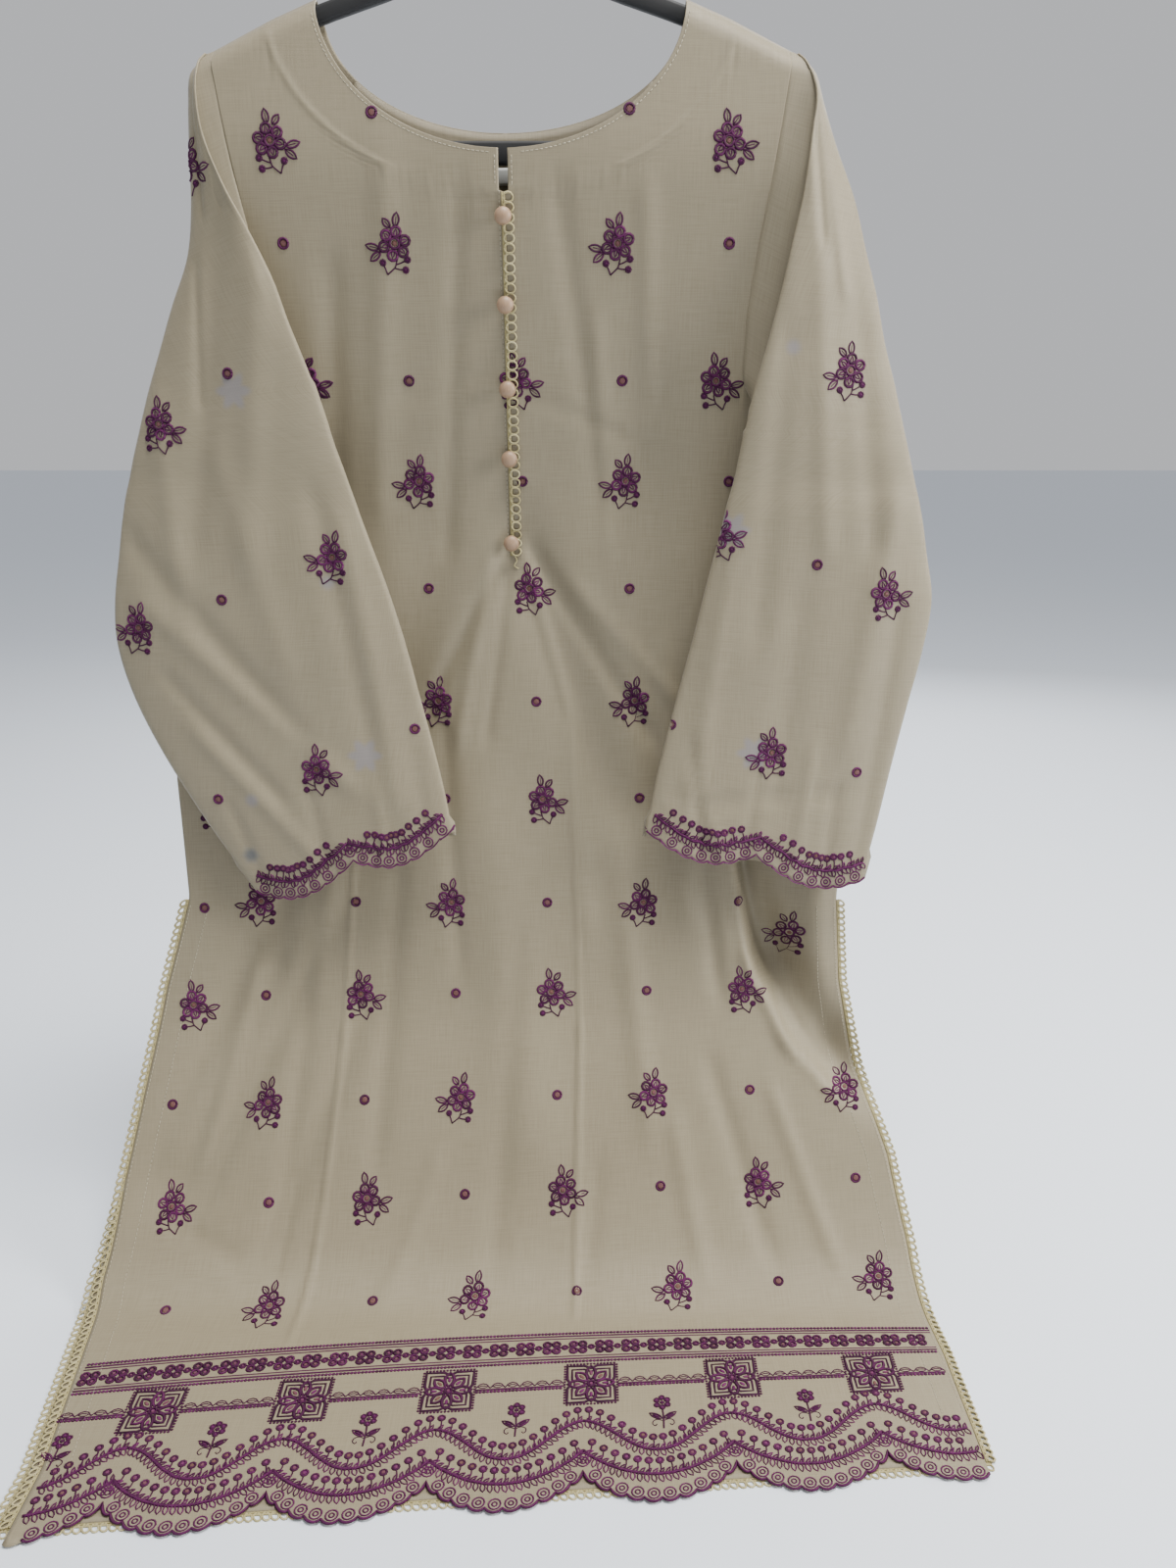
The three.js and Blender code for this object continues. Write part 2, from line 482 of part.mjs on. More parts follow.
const SLEEVE_RIGHT = [
  { fx: 183.4, fy: -1.5, fz: -122, tuck: 0, ix: 186, iy: -4, iz: -123.5,
    ox: 189, oy: 0, oz: -125, bx: 183.4, by: 1.5, bz: -122, puff: 0.5, back: 0.5 },
  { fx: 182.8, fy: -9, fz: -129, tuck: 1, ix: 191, iy: -11, iz: -131,
    ox: 198, oy: 0, oz: -135, bx: 182.8, by: 7, bz: -129, puff: 1, back: 2 },
  { fx: 180.2, fy: -12.6, fz: -144, tuck: 4, ix: 196, iy: -17.5, iz: -148,
    ox: 204, oy: 0, oz: -152, bx: 180.2, by: 9.5, bz: -144, puff: 1, back: 2 },
  { fx: 177.5, fy: -13.4, fz: -164, tuck: 8, ix: 194, iy: -19, iz: -172,
    ox: 214, oy: -2, oz: -178, bx: 177.5, by: 10, bz: -164, puff: 2, back: 2 },
  { fx: 173.5, fy: -13.6, fz: -188, tuck: 14, ix: 190, iy: -21, iz: -204,
    ox: 227, oy: -4, oz: -208, bx: 173.5, by: 9, bz: -188, puff: 3, back: 2 },
  { fx: 168.4, fy: -11, fz: -214, tuck: 18, ix: 184, iy: -22, iz: -232,
    ox: 236, oy: -6, oz: -238, bx: 169.2, by: 10.6, bz: -214, puff: 4, back: 2 },
  { fx: 164.4, fy: -7.5, fz: -242, tuck: 22, ix: 178, iy: -22.5, iz: -260,
    ox: 245, oy: -7, oz: -266, bx: 165.6, by: 12.2, bz: -242, puff: 5, back: 2 },
  { fx: 162, fy: -3.5, fz: -270, tuck: 22, ix: 171, iy: -22.5, iz: -290,
    ox: 252, oy: -8, oz: -294, bx: 162.6, by: 13.6, bz: -270, puff: 5, back: 1 },
  { fx: 161.4, fy: 0.5, fz: -302, tuck: 16, ix: 164, iy: -22, iz: -318,
    ox: 261, oy: -9, oz: -322, bx: 161.8, by: 17.2, bz: -302, puff: 6, back: 0 },
  { fx: 171.5, fy: 6, fz: -331, tuck: 2, ix: 158, iy: -21, iz: -346,
    ox: 269, oy: -10, oz: -350, bx: 172, by: 19.6, bz: -331.5, puff: 6, back: 0 },
  { fx: 193, fy: 7.5, fz: -347, tuck: -14, ix: 154, iy: -20, iz: -364,
    ox: 274, oy: -11, oz: -368, bx: 193, by: 18.4, bz: -347, puff: 6, back: 0 },
  { fx: 213.5, fy: 8.2, fz: -354.5, tuck: -24, ix: 150, iy: -19.5, iz: -382,
    ox: 279, oy: -11, oz: -386, bx: 214, by: 16, bz: -351.5, puff: 6, back: 0 },
  { fx: 225, fy: 7, fz: -358.5, tuck: -30, ix: 145, iy: -19, iz: -400,
    ox: 284, oy: -12, oz: -404, bx: 228, by: 7, bz: -357, puff: 7, back: 1 },
  { fx: 222, fy: -6, fz: -388, tuck: -40, ix: 139, iy: -19, iz: -426,
    ox: 290, oy: -12, oz: -432, bx: 222.5, by: -6, bz: -388, puff: 7, back: 3 },
  { fx: 212, fy: -9, fz: -424, tuck: -40, ix: 132, iy: -19, iz: -454,
    ox: 296, oy: -13, oz: -464, bx: 212.5, by: -9, bz: -424, puff: 7, back: 4 },
  { fx: 196, fy: -10, fz: -466, tuck: -36, ix: 124, iy: -20, iz: -490,
    ox: 292, oy: -14, oz: -500, bx: 196.5, by: -10, bz: -466, puff: 7, back: 4 },
  { fx: 180, fy: -12, fz: -508, tuck: -30, ix: 115, iy: -21, iz: -526,
    ox: 284, oy: -16, oz: -538, bx: 180.5, by: -12, bz: -508, puff: 6, back: 4 },
  { fx: 162, fy: -15, fz: -556, tuck: -24, ix: 106, iy: -24, iz: -564,
    ox: 275, oy: -19, oz: -582, bx: 162.5, by: -15, bz: -556, puff: 5, back: 4 },
  { fx: 146, fy: -19, fz: -600, tuck: -18, ix: 98, iy: -27, iz: -600,
    ox: 266, oy: -23, oz: -628, bx: 146.5, by: -19, bz: -600, puff: 5, back: 4 },
  { fx: 132, fy: -22, fz: -642, tuck: -12, ix: 94, iy: -30, iz: -632,
    ox: 257, oy: -27, oz: -672, bx: 132.5, by: -22, bz: -642, puff: 5, back: 4 },
];
const FRONT_STEPS = 8;         // cells across the front layer, four for each scallop of the cuff
const BACK_STEPS = 7;
const CUFF_SCALLOP = 7;        // how far the cuff's scallops swing about its edge

// The path of one section; `isCuff` drops the edge in scallops.
function sleeveSection(row, outward, isCuff) {
  const front = at(row.fx, row.fy, row.fz);
  const inner = at(row.ix, row.iy, row.iz);
  const outer = at(row.ox, row.oy, row.oz);
  const back = at(row.bx, row.by, row.bz);
  const path = [front];
  const hidden = row.tuck > 0
    ? at(Math.max(inner.x * outward + row.tuck, front.x * outward + 3) * outward, (row.fy + row.iy) / 2 + 1, inner.z)
    : at(lerp(front.x, inner.x, 0.5), lerp(front.y, inner.y, 0.5) + 1.5, lerp(front.z, inner.z, 0.5));
  path.push(front.clone().lerp(hidden, 0.5), hidden, hidden.clone().lerp(inner, 0.6), inner);
  const drop = (share) => (isCuff ? CUFF_SCALLOP * (Math.abs(Math.sin(2 * Math.PI * share)) * 2 - 1) : 0);
  for (let step = 1; step <= FRONT_STEPS; step += 1) {
    const share = step / FRONT_STEPS;
    const swell = row.puff * (1 - (2 * share - 1) ** 4);
    const point = inner.clone().lerp(outer, share);
    path.push(at(point.x, point.y - swell, point.z - drop(share)));
  }
  for (let step = 1; step <= BACK_STEPS; step += 1) {
    const share = step / BACK_STEPS;
    const swell = row.back * (1 - (2 * share - 1) ** 4);
    const point = outer.clone().lerp(back, share);
    const y = lerp(outer.y, back.y, 1 - (1 - share) ** 3);
    path.push(at(point.x, y + swell, point.z - drop(share) * (1 - share)));
  }
  return path;
}

function addSleeve(name, table, outward) {
  const rows = table.map((row, r) => sleeveSection(row, outward, r === table.length - 1));
  addPiece(name, clothWall(outward < 0 ? rows.map((row) => [...row].reverse()) : rows, 1), LAWN);
}
addSleeve('sleeve_left', SLEEVE_LEFT, -1);
addSleeve('sleeve_right', SLEEVE_RIGHT, 1);

// ---- the hanger ---------------------------------------------------------------------------------------------
// Half of the frame's outer edge and of the opening inside it, from the middle of the top round to the
// straight lower bar.
const FRAME_OUTER = [
  { x: 0, z: -62 }, { x: 30, z: -67.5 }, { x: 66, z: -80.5 }, { x: 112, z: -95 }, { x: 143, z: -106.8 },
  { x: 168, z: -118.5 }, { x: 183, z: -127.5 }, { x: 190, z: -137 }, { x: 191, z: -150 }, { x: 187, z: -166 },
  { x: 178, z: -179 }, { x: 164, z: -186 },
];
const FRAME_INNER = [
  { x: 0, z: -75 }, { x: 30, z: -79.5 }, { x: 66, z: -92 }, { x: 112, z: -106.5 }, { x: 143, z: -118.2 },
  { x: 165, z: -129 }, { x: 175, z: -137 }, { x: 178, z: -148 }, { x: 174, z: -162 }, { x: 160, z: -172 },
];
function frameLoop(half) {
  const right = half.map((point) => new THREE.Vector2(point.x, point.z));
  const left = half.slice(1).reverse().map((point) => new THREE.Vector2(-point.x, point.z));
  return [...right, ...left];
}
{
  const shape = new THREE.Shape(frameLoop(FRAME_OUTER));
  shape.holes.push(new THREE.Path(frameLoop(FRAME_INNER).reverse()));
  const geometry = new THREE.ExtrudeGeometry(shape, { depth: HANGER_THICK, bevelEnabled: false, steps: 1 });
  geometry.rotateX(Math.PI / 2);
  geometry.translate(0, HANGER_THICK / 2, 0);
  addPiece('hanger_frame', geometry, BLACK, 0.6);
}

// The hook: a straight stem, then a bend round the rail's place to a short open end.
{
  const centre = -HOOK_BEND;
  const radius = HOOK_BEND + HOOK_WIRE;
  const points = [at(0, 0, -62 + GAP), at(0, 0, -58), at(0, 0, -54)];
  const bendSteps = 16;
  for (let i = 0; i <= bendSteps; i += 1) {
    const turn = THREE.MathUtils.degToRad(lerp(-52, 180, i / bendSteps));
    points.push(at(radius * Math.cos(turn), 0, centre + radius * Math.sin(turn)));
  }
  points.push(at(-radius, 0, centre - 5));
  const path = new THREE.CatmullRomCurve3(points, false, 'centripetal');
  const section = new THREE.Shape();
  section.absarc(0, 0, HOOK_WIRE, 0, Math.PI * 2);
  const geometry = new THREE.ExtrudeGeometry(section, {
    steps: 30, bevelEnabled: false, extrudePath: path, curveSegments: 4,
  });
  addPiece('hanger_hook', geometry, 0xb9bcc2, 0.25, 1);
}

export default garment;
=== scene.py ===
import math
import random

import bmesh
import bpy
import numpy as np
from mathutils import Matrix, Vector
from mathutils.bvhtree import BVHTree


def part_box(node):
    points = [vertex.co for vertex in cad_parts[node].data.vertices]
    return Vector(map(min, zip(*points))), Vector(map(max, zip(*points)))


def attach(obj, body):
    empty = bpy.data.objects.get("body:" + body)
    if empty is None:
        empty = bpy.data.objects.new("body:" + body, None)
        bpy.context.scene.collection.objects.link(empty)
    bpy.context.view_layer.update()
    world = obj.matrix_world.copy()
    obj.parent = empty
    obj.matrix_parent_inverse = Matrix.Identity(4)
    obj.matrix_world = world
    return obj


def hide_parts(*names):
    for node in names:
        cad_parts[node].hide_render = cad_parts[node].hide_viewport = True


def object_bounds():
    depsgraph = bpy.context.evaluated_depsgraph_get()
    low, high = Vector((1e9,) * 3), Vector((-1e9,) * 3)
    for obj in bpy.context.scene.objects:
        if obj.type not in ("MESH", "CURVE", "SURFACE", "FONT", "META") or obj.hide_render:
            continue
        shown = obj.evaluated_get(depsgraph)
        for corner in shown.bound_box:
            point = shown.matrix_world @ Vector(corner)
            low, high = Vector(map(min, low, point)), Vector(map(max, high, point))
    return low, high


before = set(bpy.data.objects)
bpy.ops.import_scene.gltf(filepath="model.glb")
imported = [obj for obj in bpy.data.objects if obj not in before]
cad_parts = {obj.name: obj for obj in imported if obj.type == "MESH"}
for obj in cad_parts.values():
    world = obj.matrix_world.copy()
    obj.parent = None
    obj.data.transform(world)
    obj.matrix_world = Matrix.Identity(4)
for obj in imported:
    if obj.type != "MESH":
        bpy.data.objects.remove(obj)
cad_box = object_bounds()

# An embroidered kameez on a clothes hanger, hung by the hanger's hook,
# its lower part swept forward on a table.
# Sizes are in millimetres and become metres when a mesh is made. x runs across the front, `down` is the
# distance along the cloth below the corners of the neck, and the front faces -Y.
MM = 0.001
TABLE_Z = cad_box[0].z
random.seed(7)

# ---- camera, light and floor ------------------------------------------------------------------
CAMERA_PLACE = (0.054, -0.840, -0.360)
CAMERA_TILT = 16               # degrees below level
LENS = 27.045


def add_camera():
    camera = bpy.data.objects.new("camera", bpy.data.cameras.new("camera"))
    camera.data.lens = LENS
    camera.location = CAMERA_PLACE
    camera.rotation_euler = (math.radians(90 - CAMERA_TILT), 0, 0)
    bpy.context.collection.objects.link(camera)
    bpy.context.scene.camera = camera


def add_softbox(name, place, target, size, power, colour):
    light = bpy.data.lights.new(name, "AREA")
    light.shape = "RECTANGLE"
    light.size = size[0]
    light.size_y = size[1]
    light.energy = power
    light.color = colour
    softbox = bpy.data.objects.new(name, light)
    softbox.location = place
    softbox.rotation_euler = (Vector(target) - Vector(place)).to_track_quat("-Z", "Y").to_euler()
    bpy.context.collection.objects.link(softbox)


def add_studio():
    add_softbox("key", (1.75, -0.45, 0.1), (0, 0, -0.55), (0.8, 0.8), 42, (1.0, 0.985, 0.95))
    add_softbox("top", (0.45, -0.5, 1.7), (0.1, -0.2, -0.8), (0.9, 0.9), 88, (1.0, 0.99, 0.97))
    add_softbox("back", (0.5, 1.9, 0.4), (0, 0, -0.5), (1.6, 1.6), 26, (1.0, 1.0, 1.0))
    world = bpy.data.worlds.new("studio")
    world.use_nodes = True
    background = world.node_tree.nodes["Background"]
    background.inputs["Color"].default_value = (0.95, 0.965, 1.0, 1)
    background.inputs["Strength"].default_value = 0.60
    bpy.context.scene.world = world


# ---- materials --------------------------------------------------------------------------------
def new_material(name):
    material = bpy.data.materials.new(name)
    material.use_nodes = True
    return material, material.node_tree, material.node_tree.nodes["Principled BSDF"]


def node(tree, kind, **settings):
    made = tree.nodes.new(kind)
    for key, value in settings.items():
        setattr(made, key, value)
    return made


def math_node(tree, operation, first, second=None, third=None):
    made = node(tree, "ShaderNodeMath", operation=operation)
    for slot, value in enumerate((first, second, third)):
        if value is None:
            continue
        if isinstance(value, (int, float)):
            made.inputs[slot].default_value = value
        else:
            tree.links.new(value, made.inputs[slot])
    return made.outputs[0]


def mix_colour(tree, share, first, second):
    made = node(tree, "ShaderNodeMix", data_type="RGBA")
    for socket, value in ((made.inputs[0], share), (made.inputs[6], first), (made.inputs[7], second)):
        if isinstance(value, (int, float)):
            socket.default_value = value
        elif isinstance(value, tuple):
            socket.default_value = (*value, 1)
        else:
            tree.links.new(value, socket)
    return made.outputs[2]


def stretched_noise(tree, vector, scale, detail=2.0, roughness=0.5):
    """Noise whose grain is 1/scale metres long in each direction."""
    place = node(tree, "ShaderNodeMapping")
    place.inputs["Scale"].default_value = scale
    tree.links.new(vector, place.inputs["Vector"])
    noise = node(tree, "ShaderNodeTexNoise")
    noise.inputs["Scale"].default_value = 1.0
    noise.inputs["Detail"].default_value = detail
    noise.inputs["Roughness"].default_value = roughness
    tree.links.new(place.outputs[0], noise.inputs["Vector"])
    return noise.outputs[0]


def group_tree(name, inputs, outputs):
    """A node group with float or vector inputs, each with its own default, and float outputs."""
    tree = bpy.data.node_groups.new(name, "ShaderNodeTree")
    for label, value in inputs:
        kind = "NodeSocketVector" if value is None else "NodeSocketFloat"
        socket = tree.interface.new_socket(label, in_out="INPUT", socket_type=kind)
        if value is not None:
            socket.default_value = value
    for label in outputs:
        tree.interface.new_socket(label, in_out="OUTPUT", socket_type="NodeSocketFloat")
    return tree, node(tree, "NodeGroupInput"), node(tree, "NodeGroupOutput")


def make_weave():
    """A plain weave with uneven threads: height, and how strong a thread shows at each place."""
    tree, ins, outs = group_tree("plain_weave", [("Cloth", None), ("Pitch", 0.00045)], ["Height", "Slub"])
    axes = node(tree, "ShaderNodeSeparateXYZ")
    tree.links.new(ins.outputs["Cloth"], axes.inputs[0])
    turns = math_node(tree, "DIVIDE", 2 * math.pi, ins.outputs["Pitch"])
    warp = math_node(tree, "SINE", math_node(tree, "MULTIPLY", axes.outputs[0], turns))
    weft = math_node(tree, "SINE", math_node(tree, "MULTIPLY", axes.outputs[1], turns))
    bumps = math_node(tree, "MULTIPLY", warp, weft)
    along = stretched_noise(tree, ins.outputs["Cloth"], (1500, 45, 1))
    across = stretched_noise(tree, ins.outputs["Cloth"], (45, 1500, 1))
    slub = math_node(tree, "MULTIPLY", math_node(tree, "ADD", along, across), 0.5)
    height = math_node(tree, "ADD", math_node(tree, "MULTIPLY", bumps, 0.35), slub)
    tree.links.new(height, outs.inputs["Height"])
    tree.links.new(slub, outs.inputs["Slub"])
    return tree


def make_shadow_flower():
    """A soft six-petalled shape round a place on the piece, seen through the cloth from its far side."""
    tree, ins, outs = group_tree("show_through", [("Place", None), ("Centre", None), ("Petals", 1.0)],
                                 ["Mask"])
    offset = node(tree, "ShaderNodeVectorMath", operation="SUBTRACT")
    tree.links.new(ins.outputs["Place"], offset.inputs[0])
    tree.links.new(ins.outputs["Centre"], offset.inputs[1])
    flat = node(tree, "ShaderNodeVectorMath", operation="MULTIPLY")
    flat.inputs[1].default_value = (1, 0, 1)
    tree.links.new(offset.outputs[0], flat.inputs[0])
    distance = node(tree, "ShaderNodeVectorMath", operation="LENGTH")
    tree.links.new(flat.outputs[0], distance.inputs[0])
    axes = node(tree, "ShaderNodeSeparateXYZ")
    tree.links.new(offset.outputs[0], axes.inputs[0])
    angle = math_node(tree, "ARCTAN2", axes.outputs[2], axes.outputs[0])
    lobes = math_node(tree, "COSINE", math_node(tree, "MULTIPLY", angle, 6.0))
    reach = math_node(tree, "MULTIPLY_ADD", math_node(tree, "MULTIPLY", lobes, ins.outputs["Petals"]),
                      0.0022, 0.0045)
    reach = math_node(tree, "MULTIPLY_ADD", ins.outputs["Petals"], 0.0055, reach)
    fade = node(tree, "ShaderNodeMapRange", interpolation_type="SMOOTHSTEP")
    tree.links.new(math_node(tree, "SUBTRACT", distance.outputs["Value"], reach), fade.inputs["Value"])
    fade.inputs["From Min"].default_value = -0.003
    fade.inputs["From Max"].default_value = 0.0025
    fade.inputs["To Min"].default_value = 1.0
    fade.inputs["To Max"].default_value = 0.0
    tree.links.new(fade.outputs[0], outs.inputs["Mask"])
    return tree


WEAVE = make_weave()
SHOW_THROUGH = make_shadow_flower()
LAWN_LIGHT = (0.262, 0.224, 0.148)
LAWN_DARK = (0.205, 0.169, 0.104)
GHOST_GREY = (0.20, 0.19, 0.22)


def lawn_material(name, ghosts=(), stains=()):
    """Fine plain-woven lawn. ghosts and stains are places in metres;
    a ghost has 1 for a flower and 0 for a ring."""
    material, tree, shader = new_material(name)
    cloth = node(tree, "ShaderNodeUVMap", uv_map="cloth").outputs[0]
    weave = node(tree, "ShaderNodeGroup", node_tree=WEAVE)
    tree.links.new(cloth, weave.inputs["Cloth"])
    weave.inputs["Pitch"].default_value = 0.00045
    threads = node(tree, "ShaderNodeMapRange")
    tree.links.new(weave.outputs["Slub"], threads.inputs["Value"])
    threads.inputs["From Min"].default_value = 0.36
    threads.inputs["From Max"].default_value = 0.62
    clouds = stretched_noise(tree, cloth, (7, 5, 1), detail=3.0)
    tone = math_node(tree, "MULTIPLY_ADD", threads.outputs[0], 0.62,
                     math_node(tree, "MULTIPLY", clouds, 0.4))
    colour = mix_colour(tree, tone, LAWN_DARK, LAWN_LIGHT)
    place = node(tree, "ShaderNodeTexCoord").outputs["Object"]
    for centre, petals in ghosts:
        ghost = node(tree, "ShaderNodeGroup", node_tree=SHOW_THROUGH)
        tree.links.new(place, ghost.inputs["Place"])
        ghost.inputs["Centre"].default_value = centre
        ghost.inputs["Petals"].default_value = petals
        blotch = math_node(tree, "MULTIPLY", ghost.outputs["Mask"], 0.55)
        colour = mix_colour(tree, blotch, colour, GHOST_GREY)
    for centre, dark in stains:
        ghost = node(tree, "ShaderNodeGroup", node_tree=SHOW_THROUGH)
        tree.links.new(place, ghost.inputs["Place"])
        ghost.inputs["Centre"].default_value = centre
        ghost.inputs["Petals"].default_value = 0.0 if dark else 0.35
        colour = mix_colour(tree, math_node(tree, "MULTIPLY", ghost.outputs["Mask"], 0.8 if dark else 0.25),
                            colour, (0.05, 0.055, 0.06) if dark else (0.16, 0.17, 0.18))
    tree.links.new(colour, shader.inputs["Base Color"])
    rough = math_node(tree, "MULTIPLY_ADD", threads.outputs[0], -0.12, 0.58)
    tree.links.new(rough, shader.inputs["Roughness"])
    shader.inputs["Sheen Weight"].default_value = 0.15
    shader.inputs["Sheen Roughness"].default_value = 0.4
    shader.inputs["Specular IOR Level"].default_value = 0.45
    bump = node(tree, "ShaderNodeBump")
    bump.inputs["Strength"].default_value = 0.35
    bump.inputs["Distance"].default_value = 0.00025
    tree.links.new(weave.outputs["Height"], bump.inputs["Height"])
    tree.links.new(bump.outputs[0], shader.inputs["Normal"])
    return material


def thread_material(name, dark, mid, light, last, shine):
    """Twisted thread: `tone` runs from dark to light and then to a last colour, and `strand` is the distance
    along the thread."""
    material, tree, shader = new_material(name)
    tone = node(tree, "ShaderNodeAttribute", attribute_name="tone").outputs["Fac"]
    strand = node(tree, "ShaderNodeAttribute", attribute_name="strand").outputs["Fac"]
    place = node(tree, "ShaderNodeTexCoord").outputs["Object"]
    uneven = stretched_noise(tree, place, (420, 420, 420), detail=2.0)
    twist = math_node(tree, "SINE", math_node(tree, "MULTIPLY", strand, 2 * math.pi / 0.0007))
    share = math_node(tree, "MULTIPLY_ADD", math_node(tree, "SUBTRACT", uneven, 0.5), 0.5, tone)
    share = math_node(tree, "MULTIPLY_ADD", twist, 0.07, share)
    ramp = node(tree, "ShaderNodeValToRGB")
    ramp.color_ramp.elements[0].color = (*dark, 1)
    ramp.color_ramp.elements[1].color = (*last, 1)
    ramp.color_ramp.elements.new(0.4).color = (*mid, 1)
    ramp.color_ramp.elements.new(0.72).color = (*light, 1)
    tree.links.new(share, ramp.inputs[0])
    tree.links.new(ramp.outputs[0], shader.inputs["Base Color"])
    rough = math_node(tree, "MULTIPLY_ADD", uneven, 0.3, shine)
    tree.links.new(rough, shader.inputs["Roughness"])
    shader.inputs["Specular IOR Level"].default_value = 0.28
    bump = node(tree, "ShaderNodeBump")
    bump.inputs["Strength"].default_value = 0.5
    bump.inputs["Distance"].default_value = 0.0002
    tree.links.new(twist, bump.inputs["Height"])
    tree.links.new(bump.outputs[0], shader.inputs["Normal"])
    return material


def wood_material():
    material, tree, shader = new_material("turned_wood")
    place = node(tree, "ShaderNodeTexCoord").outputs["Object"]
    grain = stretched_noise(tree, place, (1600, 500, 260), detail=3.0)
    fibre = stretched_noise(tree, place, (4200, 900, 700), detail=2.0)
    share = math_node(tree, "MULTIPLY_ADD", fibre, 0.5, math_node(tree, "MULTIPLY", grain, 0.6))
    tree.links.new(mix_colour(tree, share, (0.20, 0.115, 0.062), (0.40, 0.27, 0.17)),
                   shader.inputs["Base Color"])
    tree.links.new(math_node(tree, "MULTIPLY_ADD", grain, 0.25, 0.32), shader.inputs["Roughness"])
    bump = node(tree, "ShaderNodeBump")
    bump.inputs["Strength"].default_value = 0.15
    bump.inputs["Distance"].default_value = 0.0003
    tree.links.new(fibre, bump.inputs["Height"])
    tree.links.new(bump.outputs[0], shader.inputs["Normal"])
    return material


def hard_material(name, dark, light, roughness, metallic, grain):
    """Moulded plastic or drawn wire, with a fine uneven surface."""
    material, tree, shader = new_material(name)
    place = node(tree, "ShaderNodeTexCoord").outputs["Object"]
    speckle = stretched_noise(tree, place, grain, detail=3.0)
    smudge = stretched_noise(tree, place, (30, 30, 30), detail=2.0)
    tree.links.new(mix_colour(tree, speckle, dark, light), shader.inputs["Base Color"])
    tree.links.new(math_node(tree, "MULTIPLY_ADD", smudge, 0.22, roughness), shader.inputs["Roughness"])
    shader.inputs["Metallic"].default_value = metallic
    bump = node(tree, "ShaderNodeBump")
    bump.inputs["Strength"].default_value = 0.2
    bump.inputs["Distance"].default_value = 0.0001
    tree.links.new(speckle, bump.inputs["Height"])
    tree.links.new(bump.outputs[0], shader.inputs["Normal"])
    return material


# ---- the form of the body, as the cloth hangs -------------------------------------------------
WALL = 1.0
GAP = 0.3
CLOTH_LIFT = 0.15              # the shell's inner face above the inner face of its wall
CLOTH_THICK = 0.6
SEAM_MERGE = 0.00004           # metres within which two halves become one
# distance down the cloth, lean in degrees: 0 hangs, below 0 runs away from the front, 90 lies on the table
HANG = np.array([
    (0, 2), (70, 2), (110, -8), (270, -8), (330, 2), (440, 3), (520, 7), (600, 9), (660, 13), (705, 24),
    (800, 28), (855, 40), (888, 64), (912, 90), (1200, 90)], float)
HANG_START_Y = -10
# distance down the cloth, swing of the lower cloth towards the left front
SWING = np.array([
    (600, 0), (672, 0.015), (745, 0.025), (815, 0.04), (888, 0.05), (970, 0.07), (1040, 0.08)], float)
SWING_CENTRE = 15
# distance down, how far the back hangs behind the front
APART = np.array([(0, 30), (110, 28), (180, 18), (300, 15), (600, 14), (750, 9), (840, 4), (890, 0)], float)
# distance down, left edge, right edge
EDGE = np.array([
    (30, -182, 182), (66, -177, 177), (106, -171, 171), (146, -165, 165), (186, -161, 160),
    (226, -162, 160), (250, -178, 176), (262, -202, 200), (267, -222, 222), (335, -226, 226),
    (405, -234, 234), (465, -245, 243), (505, -252, 248), (600, -247, 241), (665, -266, 244),
    (730, -278, 256), (800, -290, 277), (865, -295, 287), (960, -280, 293), (1012, -272, 293)], float)
UNDERARM = 267
ARM_REACH = 236
SLIT_TOP = 600
PLACKET_END = 342
KEYHOLE_END = 110
KEYHOLE_HALF = 3
NECK_HALF = 115
FRONT_NECK_DEPTH = 86
BACK_NECK_DEPTH = 70
ARMHOLE_TOP = 28
ARMHOLE_LEVEL = 24
HEM_FRONT = 1039
HEM_BACK = 1050
SCALLOP_PITCH = 92.5
SCALLOP_DEPTH = 22
SCALLOP_VALLEY_X = 51
SMALL_SCALLOPS = 10            # along one large scallop
SMALL_DEPTH = 2.6
# the large folds, which the walls of the frame have too: start (x, down), end (x, down), width, depth
LARGE_FOLDS = [
    (172, 560, 196, 640, 15, -13), (196, 640, 236, 712, 16, -12), (236, 712, 266, 750, 14, -5),
    (226, 590, 228, 690, 13, 5), (-190, 620, -255, 790, 22, -6), (-60, 350, -110, 560, 24, -5),
    (12, 345, 70, 520, 20, -6), (95, 250, 110, 520, 22, -5), (-20, 560, 10, 760, 26, 4)]
